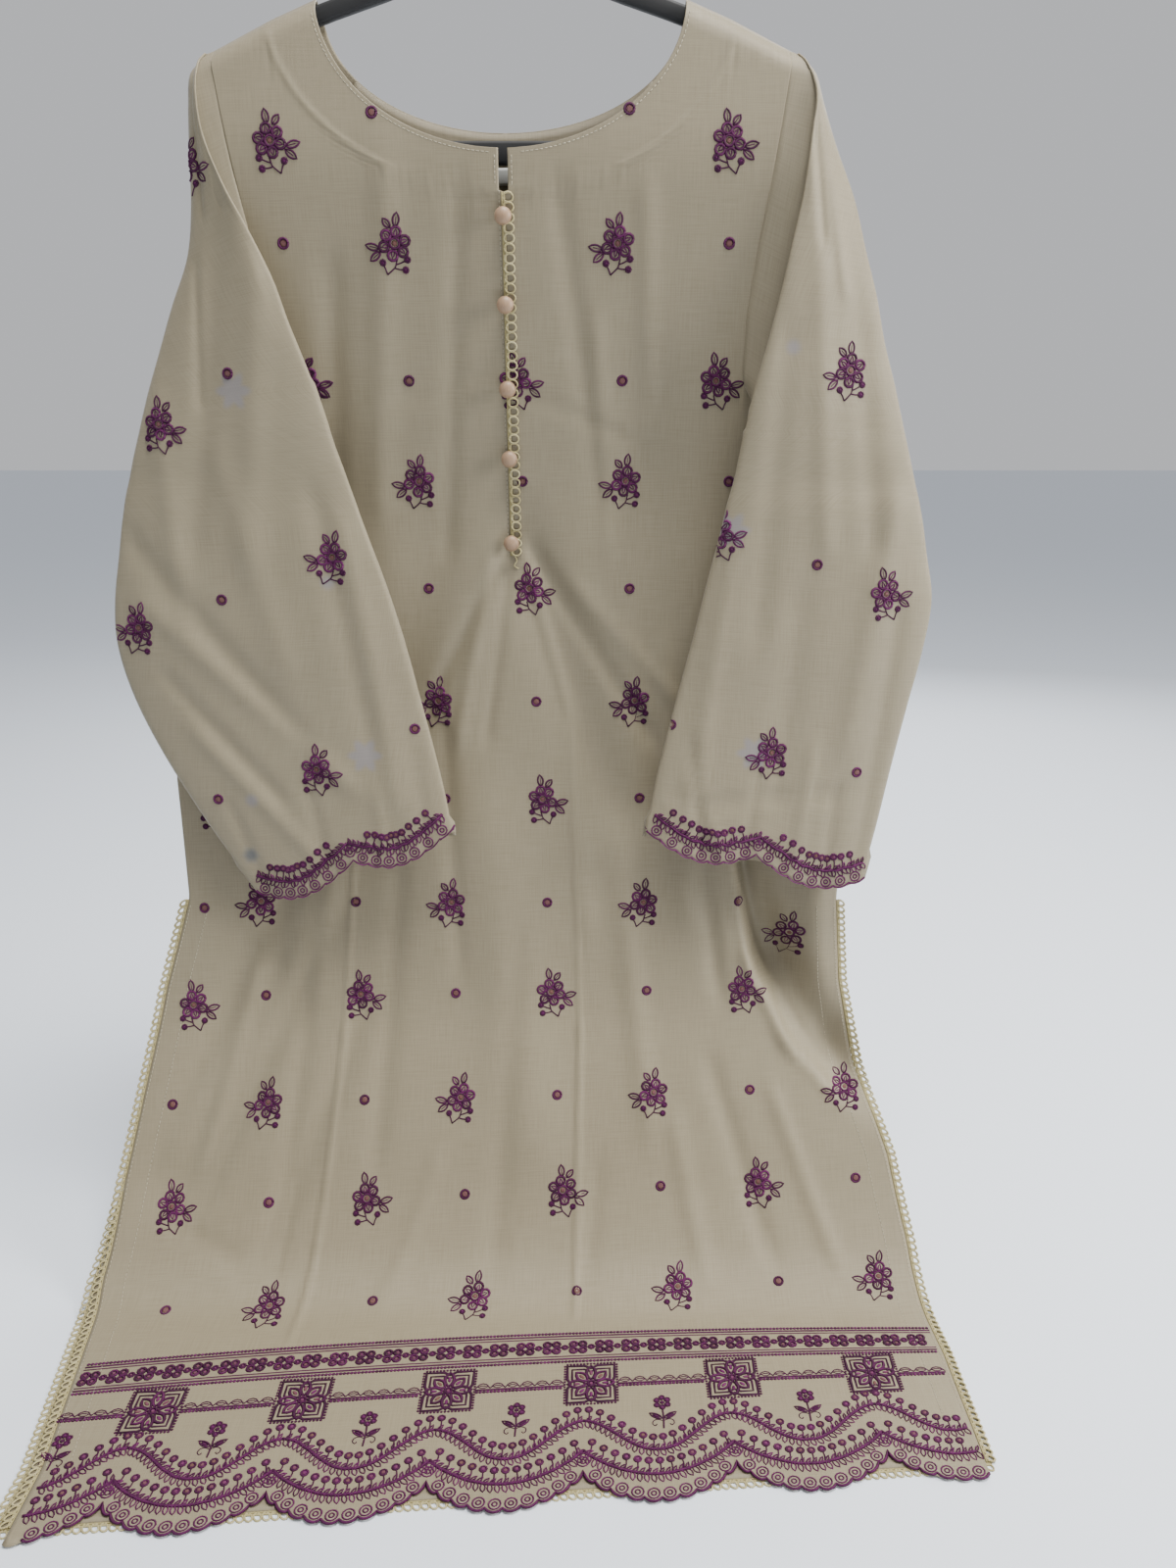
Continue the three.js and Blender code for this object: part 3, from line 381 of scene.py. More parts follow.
# soft creases of the front only, in the same form
FRONT_CREASES = [
    (172, 575, 186, 650, 7, -4.5), (186, 650, 214, 706, 7, -4.5), (214, 706, 244, 742, 6, -3.5),
    (162, 575, 176, 652, 6, 2.2), (176, 652, 204, 712, 6, 2.2), (204, 712, 234, 748, 6, 1.6),
    (-150, 640, -232, 800, 14, -3.6), (-182, 630, -252, 770, 12, 2.4), (-118, 690, -180, 850, 12, -2.0),
    (-8, 346, -62, 452, 7, -2.6), (-2, 350, -20, 470, 6, -1.4), (22, 352, 96, 470, 8, -3.0),
    (10, 350, 38, 450, 5, 1.5), (-16, 352, -40, 470, 7, 1.6), (50, 372, 120, 450, 7, 1.6),
    (-30, 120, -46, 330, 9, -1.3), (36, 120, 62, 300, 10, -1.4), (-76, 110, -92, 300, 12, 1.5),
    (92, 120, 96, 250, 9, 1.2), (-115, 170, -132, 420, 12, -1.8), (60, 200, 68, 330, 8, 1.1),
    (14, 235, 76, 262, 6, -0.8), (-18, 222, -62, 238, 5, -0.7), (-10, 182, -70, 232, 7, -0.9),
    (-150, 470, -182, 640, 13, -2.6), (-120, 480, -150, 650, 10, 1.8), (-90, 590, -104, 780, 11, -1.6),
    (110, 420, 128, 600, 10, 1.6), (128, 470, 152, 660, 9, -2.2), (76, 560, 98, 760, 12, 1.7),
    (40, 470, 52, 610, 9, 1.3), (-52, 480, -44, 640, 9, -1.3), (0, 640, -14, 850, 12, -1.2),
    (-200, 660, -238, 810, 8, 1.6), (-160, 690, -176, 850, 10, -1.4), (150, 740, 184, 860, 10, -1.6),
    (196, 760, 232, 870, 8, 1.4), (120, 780, 140, 890, 9, 1.2), (-230, 840, -190, 860, 9, -1.0),
    (-60, 800, -96, 900, 8, 1.1), (60, 810, 52, 900, 9, -1.0), (250, 640, 258, 720, 5, -1.2)]
# ironed creases of the front, narrow: they end where the border begins
IRONED = [(-122, 560, -131, 700, 1.7, 0.55), (-131, 700, -150, 915, 1.8, 0.8), (42, 470, 48, 700, 1.5, 0.4),
          (48, 700, 45, 905, 1.8, 0.75)]
BACK_CREASES = [
    (-70, 120, -96, 420, 12, -2.0), (80, 130, 104, 400, 12, -1.8), (-10, 110, 4, 420, 14, -1.6),
    (-150, 300, -170, 620, 14, -2.4), (140, 320, 168, 640, 13, -2.2), (30, 380, 44, 720, 12, 1.6),
    (-60, 470, -78, 800, 12, -1.6), (96, 560, 120, 840, 11, 1.6), (-200, 560, -236, 800, 12, 1.8),
    (196, 600, 228, 820, 11, -1.8), (-120, 640, -130, 860, 9, 1.3), (0, 620, -12, 860, 10, -1.4)]
# x, height of the shoulder seam
SHOULDER = np.array([(0, -60), (66, -78), (115, -93), (143, -104), (182, -122)], float)
SEAM_ROLL = 13                 # drop over which the cloth rolls off the hanger's arm


def hang_line():
    downs = np.arange(0, 1201.0)
    lean = np.radians(np.interp(downs, HANG[:, 0], HANG[:, 1]))
    lies = lean > math.pi / 2 - 1e-6
    y = HANG_START_Y - np.concatenate([[0], np.cumsum(np.sin(lean[:-1]))])
    z = -np.concatenate([[0], np.cumsum(np.where(lies, 0, np.cos(lean))[:-1])])
    return downs, y, z + TABLE_Z / MM + WALL + GAP / 2 - z[-1], lean


HANG_DOWN, HANG_Y, HANG_Z, HANG_LEAN = hang_line()


def smoothstep(value):
    value = np.clip(value, 0, 1)
    return value * value * (3 - 2 * value)


def fold_sum(first, second, folds, narrow=1.0):
    """Depth of soft troughs and ridges at places given by two coordinates."""
    total = np.zeros_like(first, float)
    for x0, s0, x1, s1, wide, depth in folds:
        run_x = x1 - x0
        run_s = s1 - s0
        length = math.hypot(run_x, run_s)
        along = ((first - x0) * run_x + (second - s0) * run_s) / length
        across = ((first - x0) * run_s - (second - s0) * run_x) / length
        past = np.maximum(0, np.maximum(-along, along - length))
        total += depth * np.exp(-(across / (narrow * wide)) ** 2 - (past / (2 * wide)) ** 2)
    return total


def edge_x(down, side):
    return np.interp(down, EDGE[:, 0], EDGE[:, 1 if side < 0 else 2])


def back_edge_x(down, side):
    return edge_x(down, side) - (7 * smoothstep((down - 780) / 120) if side < 0 else 0)


def facing_ridge(x, down):
    """The neck facing shows through as a faint ridge with small puckers."""
    beyond = (np.hypot(x / NECK_HALF, down / FRONT_NECK_DEPTH) - 1) * 100
    pucker = 0.25 * np.sin(x * 0.9) * np.sin(x * 0.23) * np.exp(-((beyond - 33) / 5) ** 2)
    return 0.45 * np.exp(-((beyond - 29) / 2.2) ** 2) + pucker * (down < 180)


def wall_point(x, down, behind, lift):
    """A place `lift` above the inner face of the front's or back's wall."""
    x = np.asarray(x, float)
    down = np.asarray(down, float)
    run = np.maximum(0, down - np.interp(down, SWING[:, 0], SWING[:, 1]) * (x - SWING_CENTRE))
    y = np.interp(run, HANG_DOWN, HANG_Y)
    z = np.interp(run, HANG_DOWN, HANG_Z)
    lean = np.interp(run, HANG_DOWN, HANG_LEAN)
    edge = np.abs(np.where(x < 0, edge_x(down, -1), edge_x(down, 1)))
    across = np.clip(np.abs(x) / np.where(down < UNDERARM, ARM_REACH, edge), 0, 1)
    apart = np.interp(run, APART[:, 0], APART[:, 1]) * (1 - across ** 4)
    fold = fold_sum(x, down, LARGE_FOLDS) * (1 - smoothstep((down - 800) / 80))
    rim = smoothstep((edge - np.abs(x)) / 26)
    if behind:
        soft = fold_sum(x, down, BACK_CREASES) * rim * (1 - smoothstep((down - 800) / 80))
        out = fold * np.where(fold < 0, 1.7, 0.5) - apart - GAP / 2 - lift + soft
    else:
        soft = fold_sum(x, down, FRONT_CREASES, 0.8) * rim * (1 - smoothstep((down - 860) / 50))
        soft = np.maximum(soft * 1.25, -0.6 * np.maximum(apart, 0) - 0.1)
        out = fold + GAP / 2 + lift + soft + 2.2 * fold_sum(x, down, IRONED) + facing_ridge(x, down)
    return np.stack([x, y - np.cos(lean) * out, z + np.sin(lean) * out], -1)


def roll_over(points):
    """Near the shoulder seam the cloth rolls over the hanger's arm."""
    seam = np.interp(np.abs(points[..., 0]), SHOULDER[:, 0], SHOULDER[:, 1])
    free = np.sin(np.clip((seam - points[..., 2]) / SEAM_ROLL, 0, 1) * math.pi / 2) ** 0.8
    rolled = points.copy()
    rolled[..., 1] *= free
    return rolled


def on_body(behind):
    """Returns a function that takes flat places (x, down, height over the cloth) to places in space."""
    sign = -1 if behind else 1

    def place(flat):
        lift = CLOTH_LIFT + CLOTH_THICK
        x, down, height = flat[:, 0], flat[:, 1], flat[:, 2]
        centre = wall_point(x, down, behind, lift)
        across = wall_point(x + 0.5, down, behind, lift) - wall_point(x - 0.5, down, behind, lift)
        lower = wall_point(x, down + 0.5, behind, lift) - wall_point(x, down - 0.5, behind, lift)
        normal = np.cross(lower, across) * sign
        normal /= np.linalg.norm(normal, axis=1)[:, None]
        return roll_over(centre) + normal * height[:, None]
    return place


# ---- meshes -----------------------------------------------------------------------------------
def finish_mesh(name, mesh, material, smooth=True):
    piece = bpy.data.objects.new(name, mesh)
    bpy.context.collection.objects.link(piece)
    mesh.materials.append(material)
    if smooth:
        mesh.polygons.foreach_set("use_smooth", [True] * len(mesh.polygons))
    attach(piece, "root")
    return piece


def grid_mesh(bm, points, uvs, outward):
    """Adds a sheet of squares to bm, with its corners at points[row][column] in millimetres
    and its own UV map.
    outward is the side that the first square should face."""
    rows, columns = points.shape[:2]
    made = bmesh.ops.create_grid(bm, x_segments=columns - 1, y_segments=rows - 1, size=1.0)["verts"]
    bm.verts.ensure_lookup_table()
    layer = bm.loops.layers.uv.verify()
    spots = {}
    for vert in made:
        column = round((vert.co.x + 1) / 2 * (columns - 1))
        row = round((1 - vert.co.y) / 2 * (rows - 1))
        spots[vert] = (row, column)
    for vert, (row, column) in spots.items():
        vert.co = Vector(points[row, column]) * MM
    faces = list({face for vert in made for face in vert.link_faces})
    for face in faces:
        for loop in face.loops:
            row, column = spots[loop.vert]
            loop[layer].uv = uvs[row, column] * MM
    total = Vector((0, 0, 0))
    for face in faces:
        face.normal_update()
        total += face.normal * face.calc_area()
    if total.dot(Vector(outward)) < 0:
        bmesh.ops.reverse_faces(bm, faces=faces)


def shell_piece(name, mesh, material, thick):
    """A piece of cloth from its inner face, thickened outwards."""
    mesh.uv_layers[0].name = "cloth"
    piece = finish_mesh(name, mesh, material)
    shell = piece.modifiers.new("thickness", "SOLIDIFY")
    shell.thickness = thick * MM
    shell.offset = 1
    return piece


def cloth_piece(name, sheets, outward, material, thick=CLOTH_THICK, merge=SEAM_MERGE):
    """A thin shell from sheets of (points, uvs), thickened outwards."""
    bm = bmesh.new()
    for points, uvs in sheets:
        grid_mesh(bm, points, uvs, outward)
    if merge:
        bmesh.ops.remove_doubles(bm, verts=bm.verts, dist=merge)
    mesh = bpy.data.meshes.new(name)
    bm.to_mesh(mesh)
    bm.free()
    return shell_piece(name, mesh, material, thick)


# ---- front and back panels --------------------------------------------------------------------
# rows below the neck: distance down at the middle and at the outer edge
BODY_ROWS = np.array([
    (108, 130), (112, 135), (150, 170), (190, 208), (215, 234), (235, 252), (250, 262), (262,
                                                                                         267), (300, 300),
    (342, 342), (400, 400), (455, 455), (505, 505), (553, 553), (600, 600), (700, 700), (803,
                                                                                         803), (905, 905),
    (960, 960), (1012, 1012)], float)
COLUMNS_PER_SCALLOP = 40
FRONT_HALF_COLUMNS = 120
BACK_HALF_COLUMNS = 60
NECK_STEPS = 24
ROW_STEP = 6.2
HEM_STEPS = 9

# Shares of a large scallop's width by shares of its edge's length.
ARC_X = np.linspace(0, 1, 201)
ARC_DROP = SCALLOP_DEPTH * np.sin(math.pi * ARC_X) ** 0.7
ARC_LENGTH = np.concatenate([[0], np.cumsum(np.hypot(np.diff(ARC_X * SCALLOP_PITCH), np.diff(ARC_DROP)))])
ARC_LENGTH /= ARC_LENGTH[-1]


def large_scallop(x):
    share = (np.asarray(x, float) - SCALLOP_VALLEY_X) / SCALLOP_PITCH % 1
    return HEM_FRONT + SCALLOP_DEPTH * np.sin(math.pi * share) ** 0.7


def front_hem(x):
    share = (np.asarray(x, float) - SCALLOP_VALLEY_X) / SCALLOP_PITCH % 1
    along = np.interp(share, ARC_X, ARC_LENGTH)
    return large_scallop(x) + SMALL_DEPTH * np.abs(np.sin(SMALL_SCALLOPS * math.pi * along)) ** 0.7


def back_hem(x):
    return np.full_like(np.asarray(x, float), HEM_BACK)


def front_hem_x(side):
    """Places along the hem for the columns of one half: four for each small scallop."""
    turns = 0.5 + side * np.arange(FRONT_HALF_COLUMNS + 1) / COLUMNS_PER_SCALLOP
    whole = np.floor(turns)
    share = np.interp(turns - whole, ARC_LENGTH, ARC_X)
    x = SCALLOP_VALLEY_X + SCALLOP_PITCH * (whole - 1 + share)
    last = COLUMNS_PER_SCALLOP // 4
    miss = edge_x(HEM_FRONT, side) - x[-1]
    x[-last - 1:] += miss * np.linspace(0, 1, last + 1)
    return x


def back_hem_x(side):
    return back_edge_x(HEM_BACK, side) * np.arange(BACK_HALF_COLUMNS + 1) / BACK_HALF_COLUMNS


def half_panel(side, behind):
    """Flat places (x, down) of one half of a panel, from the middle (neck edge or centre) outwards."""
    columns = BACK_HALF_COLUMNS if behind else FRONT_HALF_COLUMNS
    depth = BACK_NECK_DEPTH if behind else FRONT_NECK_DEPTH
    slit = 0 if behind else KEYHOLE_HALF
    edge = back_edge_x if behind else edge_x
    spread = np.linspace(0, 1, columns + 1)
    flat = []
    for share in np.linspace(0, 1, NECK_STEPS + 1)[:-1] ** 1.15:
        angle = share * math.pi / 2
        outer = ARMHOLE_TOP + (depth + ARMHOLE_LEVEL - ARMHOLE_TOP) * share ** 0.9
        inner_x = side * max(slit, NECK_HALF * math.cos(angle))
        x = inner_x + (edge(outer, side) - inner_x) * spread
        down = depth * math.sin(angle) + (outer - depth * math.sin(angle)) * spread
        flat.append(np.stack([x, down], -1))
    inner_stops = np.concatenate([[depth], BODY_ROWS[:, 0]])
    outer_stops = np.concatenate([[depth + ARMHOLE_LEVEL], BODY_ROWS[:, 1]])
    steps = np.linspace(depth, BODY_ROWS[-1, 0], round((BODY_ROWS[-1, 0] - depth) / ROW_STEP) + 1)
    steps = np.unique(np.concatenate([steps, [KEYHOLE_END, PLACKET_END]]))
    for inner in steps:
        outer = np.interp(inner, inner_stops, outer_stops)
        opening = slit if inner <= KEYHOLE_END else (GAP / 2 if inner < PLACKET_END else 0)
        inner_x = side * min(slit, opening)
        x = inner_x + (edge(outer, side) - inner_x) * spread
        flat.append(np.stack([x, inner + (outer - inner) * spread], -1))
    top = flat[-1]
    hem_x = back_hem_x(side) if behind else front_hem_x(side)
    hem = np.stack([hem_x, back_hem(hem_x) if behind else front_hem(hem_x)], -1)
    for step in range(1, HEM_STEPS + 1):
        flat.append(top + (hem - top) * step / HEM_STEPS)
    return np.array(flat)


def panel(name, behind, material):
    sheets = []
    for side in (-1, 1):
        flat = half_panel(side, behind)
        points = wall_point(flat[..., 0], flat[..., 1], behind, CLOTH_LIFT)
        points = roll_over(points)
        seam = np.interp(np.abs(flat[0, :, 0]), SHOULDER[:, 0], SHOULDER[:, 1])
        points[0, :, 1] = (1 if behind else -1) * (GAP / 2 + CLOTH_LIFT)
        points[0, :, 2] = seam
        sheets.append((points, flat))
    return cloth_piece(name, sheets, (0, 1 if behind else -1, 0.2), material)


# ---- sleeves ----------------------------------------------------------------------------------
# Each row is a section: front end of the armhole seam (x, y, z), tuck of the hidden fold,
# inner fold (x, y, z), outer fold (x, y, z), back end of the seam (x, y, z),
# swell of the front layer, swell of the back layer.
SLEEVE_LEFT = np.array([
    (-183.4, -1.5, -122, 0, -186, -4, -123.5, -189, 0, -125, -183.4, 1.5, -122, 0.5, 0.5),
    (-182.8, -9, -129, 1, -189, -11, -131, -197, 0, -135, -182.8, 7, -129, 1, 2),
    (-180.2, -12.6, -144, 4, -190, -17.5, -148, -200, 0, -152, -180.2, 9.5, -144, 1.5, 2),
    (-177.5, -13.4, -164, 8, -187, -19, -172, -201.5, -2, -180, -177.5, 10, -164, 2, 2),
    (-173.5, -13.6, -188, 14, -176, -21, -200, -203, -4, -212, -173.5, 9, -188, 2.5, 2),
    (-168.4, -11, -214, 18, -162, -22, -226, -208, -6, -242, -168.4, 8, -214, 3, 2),
    (-164.4, -7.5, -242, 20, -148, -22.5, -255, -221, -7, -272, -164.4, 9, -242, 4, 2),
    (-162.4, -3.5, -270, 14, -138, -22.5, -284, -232, -8, -300, -162.4, 12, -270, 5, 1),
    (-163, 0.5, -302, 4, -127, -22, -312, -243, -9, -328, -163, 15, -302, 5, 0),
    (-174, 5, -331, -10, -118, -21, -340, -251, -10, -352, -174, 17, -331, 6, 0),
    (-194, 6, -346, -20, -112, -20, -360, -256, -11, -368, -194, 15.5, -345, 6, 0),
    (-213, 6, -353, -30, -106, -19.5, -376, -260, -11, -382, -214, 16, -351.5, 6, 0),
    (-226, 4, -358, -40, -100, -19, -394, -265, -12, -400, -228, 7, -357, 6, 1),
    (-214, -6, -388, -50, -90, -19, -424, -272, -12, -432, -214.5, -6, -388, 7, 3),
    (-196, -9, -424, -50, -80, -19, -454, -279, -13, -466, -196.5, -9, -424, 7, 4),
    (-172, -10, -466, -44, -70, -20, -490, -280, -14, -497, -172.5, -10, -466, 7, 4),
    (-148, -12, -508, -36, -61, -21, -530, -271, -16, -534, -148.5, -12, -508, 6, 4),
    (-122, -15, -552, -28, -52, -24, -570, -252, -19, -577, -122.5, -15, -552, 5, 4),
    (-100, -19, -594, -20, -45, -27, -606, -222, -23, -630, -100.5, -19, -594, 5, 4),
    (-84, -22, -636, -14, -42, -30, -631, -190, -27, -682, -84.5, -22, -636, 5, 4)], float)
SLEEVE_RIGHT = np.array([
    (183.4, -1.5, -122, 0, 186, -4, -123.5, 189, 0, -125, 183.4, 1.5, -122, 0.5, 0.5),
    (182.8, -9, -129, 1, 191, -11, -131, 198, 0, -135, 182.8, 7, -129, 1, 2),
    (180.2, -12.6, -144, 4, 196, -17.5, -148, 204, 0, -152, 180.2, 9.5, -144, 1, 2),
    (177.5, -13.4, -164, 8, 194, -19, -172, 214, -2, -178, 177.5, 10, -164, 2, 2),
    (173.5, -13.6, -188, 14, 190, -21, -204, 227, -4, -208, 173.5, 9, -188, 3, 2),
    (168.4, -11, -214, 18, 184, -22, -232, 236, -6, -238, 168.4, 8, -214, 4, 2),
    (164.4, -7.5, -242, 22, 178, -22.5, -260, 245, -7, -266, 164.4, 9, -242, 5, 2),
    (162, -3.5, -270, 22, 171, -22.5, -290, 252, -8, -294, 162, 12, -270, 5, 1),
    (161.4, 0.5, -302, 16, 164, -22, -318, 261, -9, -322, 161.4, 15, -302, 6, 0),
    (172, 5, -331, 2, 158, -21, -346, 269, -10, -350, 172, 17, -331, 6, 0),
    (193, 6, -346, -14, 154, -20, -364, 274, -11, -368, 193, 15.5, -345, 6, 0),
    (213, 6, -353, -24, 150, -19.5, -382, 279, -11, -386, 214, 16, -351.5, 6, 0),
    (226, 4, -358, -30, 145, -19, -400, 284, -12, -404, 228, 7, -357, 7, 1),
    (222, -6, -388, -40, 139, -19, -426, 290, -12, -432, 222.5, -6, -388, 7, 3),
    (212, -9, -424, -40, 132, -19, -454, 296, -13, -464, 212.5, -9, -424, 7, 4),
    (196, -10, -466, -36, 124, -20, -490, 292, -14, -500, 196.5, -10, -466, 7, 4),
    (180, -12, -508, -30, 115, -21, -526, 284, -16, -538, 180.5, -12, -508, 6, 4),
    (162, -15, -556, -24, 106, -24, -564, 275, -19, -582, 162.5, -15, -556, 5, 4),
    (146, -19, -600, -18, 98, -27, -600, 266, -23, -628, 146.5, -19, -600, 5, 4),
    (132, -22, -642, -12, 94, -30, -632, 257, -27, -672, 132.5, -22, -642, 5, 4)], float)
SLEEVE_ROWS = 120
HIDDEN_STEPS = 3               # for each of the four stretches of the tucked layer
LAYER_STEPS = 48               # across the front layer, and as many behind
CUFF_SCALLOP = 7
CUFF_SMALL = 14                # small scallops across the front of the cuff
CUFF_SMALL_DEPTH = 2.0
# soft creases on the front layer of the sleeves, in x and z: start, end, width, depth (above 0 stands out)
LEFT_SLEEVE_CREASES = [
    (-192, -132, -194, -215, 2.2, -2.2), (-197, -136, -200, -240, 2.6, 1.6), (-187, -140, -180, -210,
                                                                              2.4, -1.8),
    (-196, -150, -204, -330, 3, -1.6), (-180, -210, -214, -420, 9, -2.0), (-160, -260, -176, -420, 11, 2.0),
    (-262, -420, -150, -560, 8, -2.2), (-250, -470, -120, -590, 7, 1.8), (-240, -520, -170, -600, 5, -1.8),
    (-222, -560, -150, -640, 5, 1.7), (-130, -400, -100, -560, 8, -1.6), (-110, -420, -84, -600, 8, 1.6),
    (-190, -380, -160, -500, 10, 1.4), (-204, -610, -180, -676, 4, -1.5), (-146, -600, -136, -652, 4, -1.4),
    (-98, -600, -92, -650, 4, 1.2), (-70, -560, -62, -640, 4, -1.2), (-235, -330, -226, -470, 8, 1.5)]
RIGHT_SLEEVE_CREASES = [
    (192, -134, 204, -230, 3, -1.8), (198, -136, 220, -260, 4, 1.4), (187, -140, 182, -210, 2.4, -1.8),
    (200, -200, 216, -420, 8, 1.8), (224, -220, 250, -420, 9, -1.8), (184, -300, 172, -480, 9, -1.6),
    (262, -400, 240, -560, 9, 1.8), (150, -430, 130, -600, 7, 1.6), (200, -470, 190, -600, 10, -1.4),
    (116, -600, 142, -612, 3, -1.5), (150, -606, 246, -600, 3, -1.6), (140, -616, 152, -646, 3.5, 1.6),
    (128, -566, 136, -640, 3.5, -1.8), (232, -600, 226, -668, 4, -1.5), (214, -570, 204, -660, 4, 1.3),
    (176, -590, 168, -640, 4, -1.2), (270, -480, 252, -640, 6, -1.5), (104, -560, 112, -636, 4, 1.2)]


def smooth_rows(rows, count):
    """Rows between the rows of a table, on a smooth curve through them."""
    place = np.linspace(0, len(rows) - 1, count)
    low = np.minimum(place.astype(int), len(rows) - 2)
    t = (place - low)[:, None]
    before, here = rows[np.maximum(low - 1, 0)], rows[low]
    after, beyond = rows[low + 1], rows[np.minimum(low + 2, len(rows) - 1)]
    return 0.5 * (2 * here + (after - before) * t + (2 * before - 5 * here + 4 * after - beyond) * t ** 2
                  + (3 * here - before - 3 * after + beyond) * t ** 3)


def cuff_drop(share):
    """The cuff's two large scallops across a layer, and the small ones along them."""
    large = CUFF_SCALLOP * (np.abs(np.sin(2 * math.pi * share)) * 2 - 1)
    return large + CUFF_SMALL_DEPTH * np.abs(np.sin(CUFF_SMALL * math.pi * share)) ** 0.7


def sewn_end(ends, side, behind):
    """Moves the ends of a sleeve's sections to the edge of the panel, just under it."""
    downs = np.arange(ARMHOLE_TOP, UNDERARM + 1, 1.0)
    edge = back_edge_x if behind else edge_x
    rim = roll_over(wall_point(edge(downs, side) - side * 1.6, downs, behind, -0.25))
    placed = ends.copy()
    for index, end in enumerate(ends):
        distance = np.hypot(rim[:, 0] - end[0], rim[:, 2] - end[2])
        near = distance.argmin()
        share = 1 - float(smoothstep((distance[near] - 6) / 6))
        placed[index] += (rim[near] - end) * share
    return placed


def sleeve_sheet(rows, side, creases):
    table = smooth_rows(rows, SLEEVE_ROWS)
    front, tuck, inner = sewn_end(table[:, 0:3], side, False), table[:, 3], table[:, 4:7]
    outer, back, puff, swell = (table[:, 7:10], sewn_end(table[:, 10:13], side, True), table[:, 13],
                                table[:, 14])
    deep_x = side * np.maximum(side * inner[:, 0] + tuck, side * front[:, 0] + 3)
    tucked = np.stack([deep_x, (front[:, 1] + inner[:, 1]) / 2 + 1, inner[:, 2]], -1)
    halfway = (front + inner) / 2 + np.array([0, 1.5, 0])
    hidden = np.where((tuck > 0)[:, None], tucked, halfway)
    corners = [front, (front + hidden) / 2, hidden, hidden * 0.4 + inner * 0.6, inner]
    path = [front]
    for start, end in zip(corners[:-1], corners[1:]):
        for step in range(1, HIDDEN_STEPS + 1):
            path.append(start + (end - start) * step / HIDDEN_STEPS)
    nearness = smoothstep((np.arange(SLEEVE_ROWS) - (SLEEVE_ROWS - 9)) / 8)
    for step in range(1, LAYER_STEPS + 1):
        share = step / LAYER_STEPS
        point = inner + (outer - inner) * share
        point[:, 1] -= puff * (1 - (2 * share - 1) ** 4)
        point[:, 2] -= cuff_drop(share) * nearness
        path.append(point)
    for step in range(1, LAYER_STEPS + 1):
        share = step / LAYER_STEPS
        point = outer + (back - outer) * share
        point[:, 1] = outer[:, 1] + (back[:, 1] - outer[:, 1]) * (1 - (1 - share) ** 3)
        point[:, 1] += swell * (1 - (2 * share - 1) ** 4)
        point[:, 2] -= cuff_drop(share) * (1 - share) * nearness
        path.append(point)
    points = np.stack(path, 1)
    for _ in range(3):
        points[:-4, 1:-1] = (points[:-4, :-2] + 2 * points[:-4, 1:-1] + points[:-4, 2:]) / 4
    depth = fold_sum(points[..., 0], points[..., 2], creases)
    begin = len(path) - 2 * LAYER_STEPS
    shares = (np.arange(points.shape[1]) - begin) / LAYER_STEPS
    on_front = smoothstep(shares / 0.12) * smoothstep((1 - shares) / 0.12)
    on_back = smoothstep((shares - 1) / 0.12) * smoothstep((2 - shares) / 0.2) * 0.6
    points[..., 1] -= depth * on_front
    points[..., 1] -= fold_sum(points[..., 0] + 14, points[..., 2] + 22, creases) * on_back
    around = np.concatenate([np.zeros((SLEEVE_ROWS, 1)),
                             np.cumsum(np.linalg.norm(np.diff(points, axis=1), axis=2), axis=1)], 1)
    along = np.concatenate([[0], np.cumsum(np.linalg.norm(np.diff(inner / 2 + outer / 2, axis=0), axis=1))])
    uvs = np.stack([around, np.repeat(along[:, None], points.shape[1], 1)], -1)
    return points, uvs, begin


def sleeve(name, rows, side, creases, material):
    points, uvs, begin = sleeve_sheet(rows, side, creases)
    bm = bmesh.new()
    grid_mesh(bm, points, uvs, (0, -1, 0))
    # the sheet runs right round the arm, so it is turned by its front layer alone
    middle = Vector(points[SLEEVE_ROWS // 2, begin + LAYER_STEPS // 2]) * MM
    nearest = min(bm.faces, key=lambda face: (face.calc_center_median() - middle).length)
    nearest.normal_update()
    if nearest.normal.y > 0:
        bmesh.ops.reverse_faces(bm, faces=list(bm.faces))
    mesh = bpy.data.meshes.new(name)
    bm.to_mesh(mesh)
    bm.free()
    return shell_piece(name, mesh, material, CLOTH_THICK)


# ---- threads laid on cloth --------------------------------------------------------------------
def strand_template(segments, sides):
    """A straight strand along X, one unit for each segment: stations, and its section as unit offsets."""
    bm = bmesh.new()
    bmesh.ops.create_circle(bm, cap_ends=True, radius=1.0, segments=sides)
    for vert in bm.verts:
        vert.co = Vector((0, -vert.co.x, vert.co.y))
    tip = list(bm.faces)
    for step in range(segments):
        made = bmesh.ops.extrude_face_region(bm, geom=tip)["geom"]
        if step > 0 and tip[0].is_valid:
            bmesh.ops.delete(bm, geom=tip, context="FACES_ONLY")
        bmesh.ops.translate(bm, vec=(1, 0, 0),
                            verts=[item for item in made if isinstance(item, bmesh.types.BMVert)])
        tip = [item for item in made if isinstance(item, bmesh.types.BMFace)]
    bmesh.ops.remove_doubles(bm, verts=bm.verts, dist=0.001)
    bmesh.ops.recalc_face_normals(bm, faces=bm.faces)
    bmesh.ops.triangulate(bm, faces=bm.faces)
    return read_template(bm)


def dot_template(segments=8):
    """A low round boss, one unit in radius and one high."""
    bm = bmesh.new()
    bmesh.ops.create_cone(bm, cap_ends=True, segments=segments, radius1=1.0, radius2=0.55, depth=1.0)
    bmesh.ops.translate(bm, vec=(0, 0, 0.5), verts=bm.verts)
    bmesh.ops.recalc_face_normals(bm, faces=bm.faces)
    bmesh.ops.triangulate(bm, faces=bm.faces)
    return read_template(bm)


